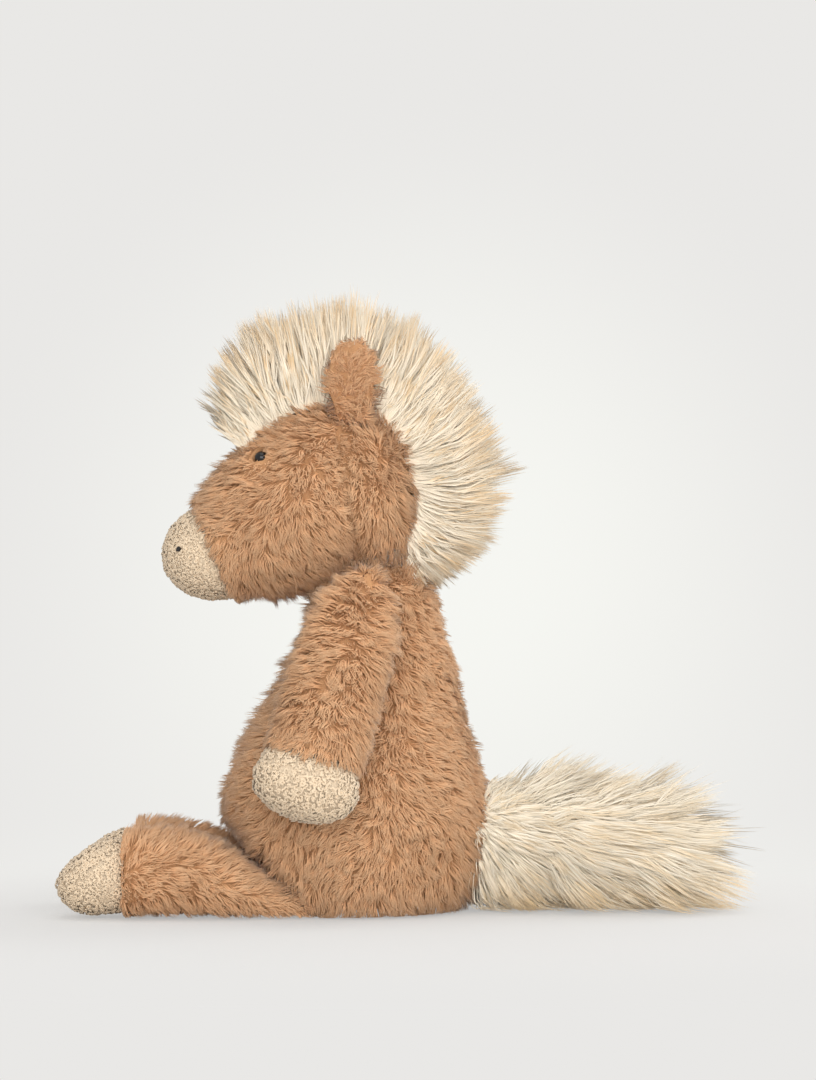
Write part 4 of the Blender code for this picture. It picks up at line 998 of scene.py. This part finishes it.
def long_pile_paths(roots, start, end, length, droop, random, seed, lock_size, gathers, wave):
    """Paths of long hair that leaves its root one way and ends another, in locks within locks.

    A hair is bent as the short pile is, less droop t*t downwards at a share t of its length.
    Hairs are of one lock where they run close together at the lock reach from their roots. Each
    size of lock turns and stretches its hairs alike and draws their tips together by its share of
    gathers. Every small lock swings slowly to the side by the wave.
    """
    steps = np.array(LONG_STEPS)
    t = steps[None, :, None]
    running = roots + start * LOCK_REACH
    nests = [locks_of(running, lock_size * scale, seed) for scale in (1, LARGE_LOCK)]
    for (lock, locks), turn in zip(nests, (0.12, 0.20)):
        shift = random.normal(0, turn, (locks, 3))[lock]
        start, end = unit(start + shift * 0.5), unit(end + shift)
        length = length * random.uniform(0.92, 1.08, locks)[lock]
    paths = bent_paths(roots, length, start, end, t)
    paths[:, :, 2] -= droop * steps[None, :] ** 2
    for (lock, locks), share in zip(nests, gathers):
        paths = gathered(paths, lock, locks, share, t, 1.4)
    lock, locks = nests[0]
    swing_way = unit(np.cross(start, random.normal(size=(locks, 3))[lock]))
    phase = random.uniform(0, math.tau, locks)[lock][:, None]
    swing = np.sin(phase + steps[None, :] * 3.6) - np.sin(phase)
    paths += swing_way[:, None, :] * (swing * wave)[:, :, None]
    return paths, lock, locks


def brush(name, body, on_left, paths, side, width, shade, facing, material):
    """Long hair as a left and a right piece, both in place of the solid that stands for it."""
    for word, members in (("left", on_left), ("right", ~on_left)):
        hair = tuft_mesh(
            f"{name}_{word}_hair", paths[members], side[members], width[members],
            np.clip(shade, 0, 1)[members], LONG_TAPER, facing[members], LONG_SOFTNESS, material,
        )
        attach(hair, body)
        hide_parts(f"{name}_pile")


cream_pile = pile_material(
    "cream_long_pile", CREAM_ROOT, CREAM_MIDDLE, GOLD_TIP, 0.30, 0.55, 0.0, (0.94, 1.03)
)
random = np.random.default_rng(16)
strip = wall("mane_backing")[0]
crest_angle = np.arctan2(strip[:, 2] - CREST_MIDDLE[2], strip[:, 0] - CREST_MIDDLE[0])
crest_reach = np.hypot(strip[:, 2] - CREST_MIDDLE[2], strip[:, 0] - CREST_MIDDLE[0])
order = np.argsort(crest_angle)
round_crest = random.uniform(-38, 148, MANE_HAIRS)
angle = np.radians(round_crest)
reach = np.interp(angle, crest_angle[order], crest_reach[order])
covering = random.random(MANE_HAIRS) < COVERING_SHARE
sideways = random.uniform(-1, 1, MANE_HAIRS)
sideways = np.where(covering, np.sign(sideways), sideways)
roots = CREST_MIDDLE + between(np.array([1.0, 0, 0]), np.array([0, 0, 1.0]), angle) * (
    reach - 0.001 - 0.002 * covering
)[:, None]
roots[:, 1] = sideways * strip[:, 1].max()
fan_at, fan_start, fan_end, fan_length = np.array(MANE_FAN).T
scatter = random.normal(0, 6, MANE_HAIRS)
lean = (sideways + random.normal(0, 0.25, MANE_HAIRS)) * MANE_SPREAD * np.where(covering, 1.6, 1)
start, end = (
    unit(np.stack([np.cos(angle), lean * leaning, np.sin(angle)], axis=1))
    for angle, leaning in (
        (np.radians(np.interp(round_crest, fan_at, fan_start) + scatter), 1.5),
        (np.radians(np.interp(round_crest, fan_at, fan_end) + scatter), 0.5),
    )
)
lock, locks = locks_of(roots + start * LOCK_REACH, MANE_LOCK_SIZE, 81)
short = random.random(locks)[lock] < SHORT_SHARE + SHORT_AT_FRONT * ramp(round_crest, 70, 40)
length = MANE_LENGTH * np.interp(round_crest, fan_at, fan_length) * random.uniform(0.88, 1.04, MANE_HAIRS)
length = length * np.where(short, random.uniform(0.45, 0.85, locks)[lock], 1)
length = length * np.where(covering, random.uniform(0.35, 0.75, MANE_HAIRS), 1)
paths, lock, locks = long_pile_paths(
    roots, start, end, length, MANE_DROOP, random, 81, MANE_LOCK_SIZE, MANE_GATHERS, MANE_WAVE
)
shade = random.uniform(-0.1, 0.85, locks)[lock] + random.normal(0, 0.12, MANE_HAIRS) + 0.35 * short
width = MANE_HAIR_WIDTH * random.uniform(0.6, 1.2, MANE_HAIRS)
facing = unit(end * 0.6 + np.array([0, 1.0, 0]) * sideways[:, None])
brush("mane", "head", sideways < 0, paths, np.cross(start, [0, 1.0, 0]), width, shade, facing, cream_pile)


# The tail: a rolled strip of the same long pile, knotted at the root and sewn to the back of the
# torso. It bursts from the root into a full brush that lies along the floor and thins to a tip,
# gold where it rests on the floor. Its cream is painted paler than the mane's, as painted light.
TAIL_HAIRS = int(17_000 * FULL)
TAIL_LENGTH = 0.078
TAIL_HAIR_WIDTH = 0.00125
TAIL_ROOTS = (0.006, 0.002)      # the core stays bare this far from its root and from its tip
TAIL_CORE_RISE = 0.005           # the core's height at its root, over its box's middle
TAIL_CORE_DROP = 0.012           # and how far it falls to its tip
TAIL_CORE_RADIUS = 0.0045
TAIL_BASE_SPREAD = 0.017         # the rosette of pile at the root reaches this far from the core
TAIL_BASE_SINK = 0.0015          # its roots lie this deep in the torso's pile
TAIL_LOCK_SIZE = 0.0036
TAIL_GATHERS = (0.40, 0.32)
TAIL_WAVE = 0.0018
TAIL_DROOP = 0.004
SHORT_IN_TAIL = 0.25
# share of the way along the core, and the steepest angle at which hair leaves it there
TAIL_BURST = ((0, 118), (0.12, 104), (0.5, 76), (1, 52))
# angle at which a hair leaves the core, and its length over the full one
TAIL_LENGTHS = ((0, 0.96), (60, 0.92), (100, 0.66), (150, 0.46))
FLOOR_BLEND = 0.003              # hair that would pass the floor bends along it over this height
GOLD_HEIGHT = 0.018              # tips under this height are gold

# A paler copy of the mane's cream long pile for the same fabric: painted light for the tail, which lies flat
# in more light.
tail_pile = pile_material(
    "cream_pile_painted_paler_for_tail", (0.93, 0.84, 0.68), (0.94, 0.85, 0.70), (0.90, 0.65, 0.35),
    0.30, 0.55, 0.0, (0.96, 1.03),
)
random = np.random.default_rng(17)
low, high = np.array(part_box("tail_backing"))
t = random.random(TAIL_HAIRS) ** 1.5
round_core = random.uniform(0, math.tau, TAIL_HAIRS)
roots = np.stack([
    low[0] + TAIL_ROOTS[0] + t * (high[0] - low[0] - sum(TAIL_ROOTS)), np.zeros(TAIL_HAIRS),
    (low[2] + high[2]) / 2 + TAIL_CORE_RISE - t * TAIL_CORE_DROP,
], axis=1)
along = np.array([1.0, 0, 0])
radial = between(np.array([0, 1.0, 0]), np.array([0, 0, 1.0]), round_core)
outmost = np.sqrt(random.random(TAIL_HAIRS))
at_root = ramp(t, 0.2, -0.2)
above = np.clip(np.sin(round_core), 0, 1)
sidelong = np.abs(np.cos(round_core))
rosette = TAIL_BASE_SPREAD * outmost * at_root * (1 - 0.35 * above - 0.5 * sidelong)
roots = roots + radial * (TAIL_CORE_RADIUS + rosette)[:, None]
back = solids(["torso_skin"])
hits = [back.ray_cast(Vector((0.2, y, z)), Vector((-1, 0, 0)))[0] for _, y, z in roots]
on_back = np.array([low[0] if hit is None else hit.x - TAIL_BASE_SINK for hit in hits])
roots[:, 0] += (on_back - roots[:, 0]) * at_root
steep = random.uniform(0.12, 1, TAIL_HAIRS) ** 0.7
steep = steep * (1 - 0.7 * at_root) + outmost * 0.7 * at_root
steep *= np.radians(np.interp(t, *np.array(TAIL_BURST).T))
steep *= 1 - 0.18 * above * at_root
calm = steep * (0.40 + 0.40 * (steep / math.radians(150)) ** 2)
start = between(along, radial, steep)
end = between(along, radial, calm) + np.array([0, 0, -0.12])
length = TAIL_LENGTH * np.interp(np.degrees(steep), *np.array(TAIL_LENGTHS).T)
spread_out = ramp(steep / math.radians(50), 0.5, 1)
length = length * (1 - (0.08 * np.sin(round_core) + 0.30 * sidelong) * spread_out)
length = length * (1 - (0.55 * above + 0.25 * sidelong) * ramp(t, 0.15, -0.15))
length = length * random.uniform(0.82, 1.06, TAIL_HAIRS)
short = random.random(TAIL_HAIRS) < SHORT_IN_TAIL
length = np.where(short, length * random.uniform(0.5, 0.8, TAIL_HAIRS), length)
paths, lock, locks = long_pile_paths(
    roots, start, unit(end), length, TAIL_DROOP, random, 91, TAIL_LOCK_SIZE, TAIL_GATHERS,
    (TAIL_WAVE * length / TAIL_LENGTH)[:, None],
)
lowest = FLOOR_CLEARANCE + 0.0016 * random.random((TAIL_HAIRS, 1))
paths[:, :, 2] = lowest + np.logaddexp(0, (paths[:, :, 2] - lowest) / FLOOR_BLEND) * FLOOR_BLEND
near_floor = ramp(paths[:, -1, 2], GOLD_HEIGHT, -GOLD_HEIGHT)
shade = random.uniform(-0.25, 0.65, locks)[lock] + random.normal(0, 0.10, TAIL_HAIRS) + 0.6 * near_floor
facing = unit(radial * np.where(radial < 0, [1, 1.7, 0.2], [1, 1.7, 0.8]) + along * 0.3)
width = TAIL_HAIR_WIDTH * random.uniform(0.6, 1.2, TAIL_HAIRS)
brush("tail", "tail", np.cos(round_core) < 0, paths, np.cross(start, radial), width, shade + 0.15 * short,
      facing, tail_pile)


# Inside: the pellet pouch in the seat, the wad in the neck, the washers behind the eyes, and the
# woven strips that the mane and tail pile grow from. They keep their solids and get their cloth,
# fibre and plastic.
def woven_material(name, dark, light, threads_per_metre):
    """Plain weave: two square sets of threads, each the crest of a wave, crossed in colour and height."""
    threads = {"Scale": threads_per_metre / 6.28, "Distortion": 0.6}
    sets = [("TexWave", threads, {"bands_direction": direction}) for direction in ("X", "Z")]
    return patterned_material(name, sets, dark, light, {"Roughness": 0.9}, 0.0003)


loose_fibre = patterned_material(
    "loose_fibre", [("TexNoise", {"Scale": 500, "Detail": 6, "Distortion": 2}, {})],
    (0.70, 0.69, 0.67), (0.90, 0.90, 0.88), {"Roughness": 0.9}, 0.0008,
)
milky_plastic = patterned_material(
    "milky_plastic", [("TexNoise", {"Scale": 350}, {})], (0.68, 0.68, 0.65), (0.80, 0.80, 0.77),
    {"Roughness": 0.4},
)
pouch_cloth = woven_material("pouch_cloth", (0.55, 0.53, 0.47), (0.82, 0.80, 0.74), 1500)
strip_cloth = woven_material("strip_cloth", (0.50, 0.38, 0.24), (0.76, 0.64, 0.46), 1200)
for node, material in (
    ("neck_wad", loose_fibre), ("bean_pouch", pouch_cloth), ("mane_backing", strip_cloth),
    ("tail_backing", strip_cloth), ("left_eye_washer", milky_plastic), ("right_eye_washer", milky_plastic),
):
    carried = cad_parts[node].data.materials
    carried.clear()
    carried.append(material)
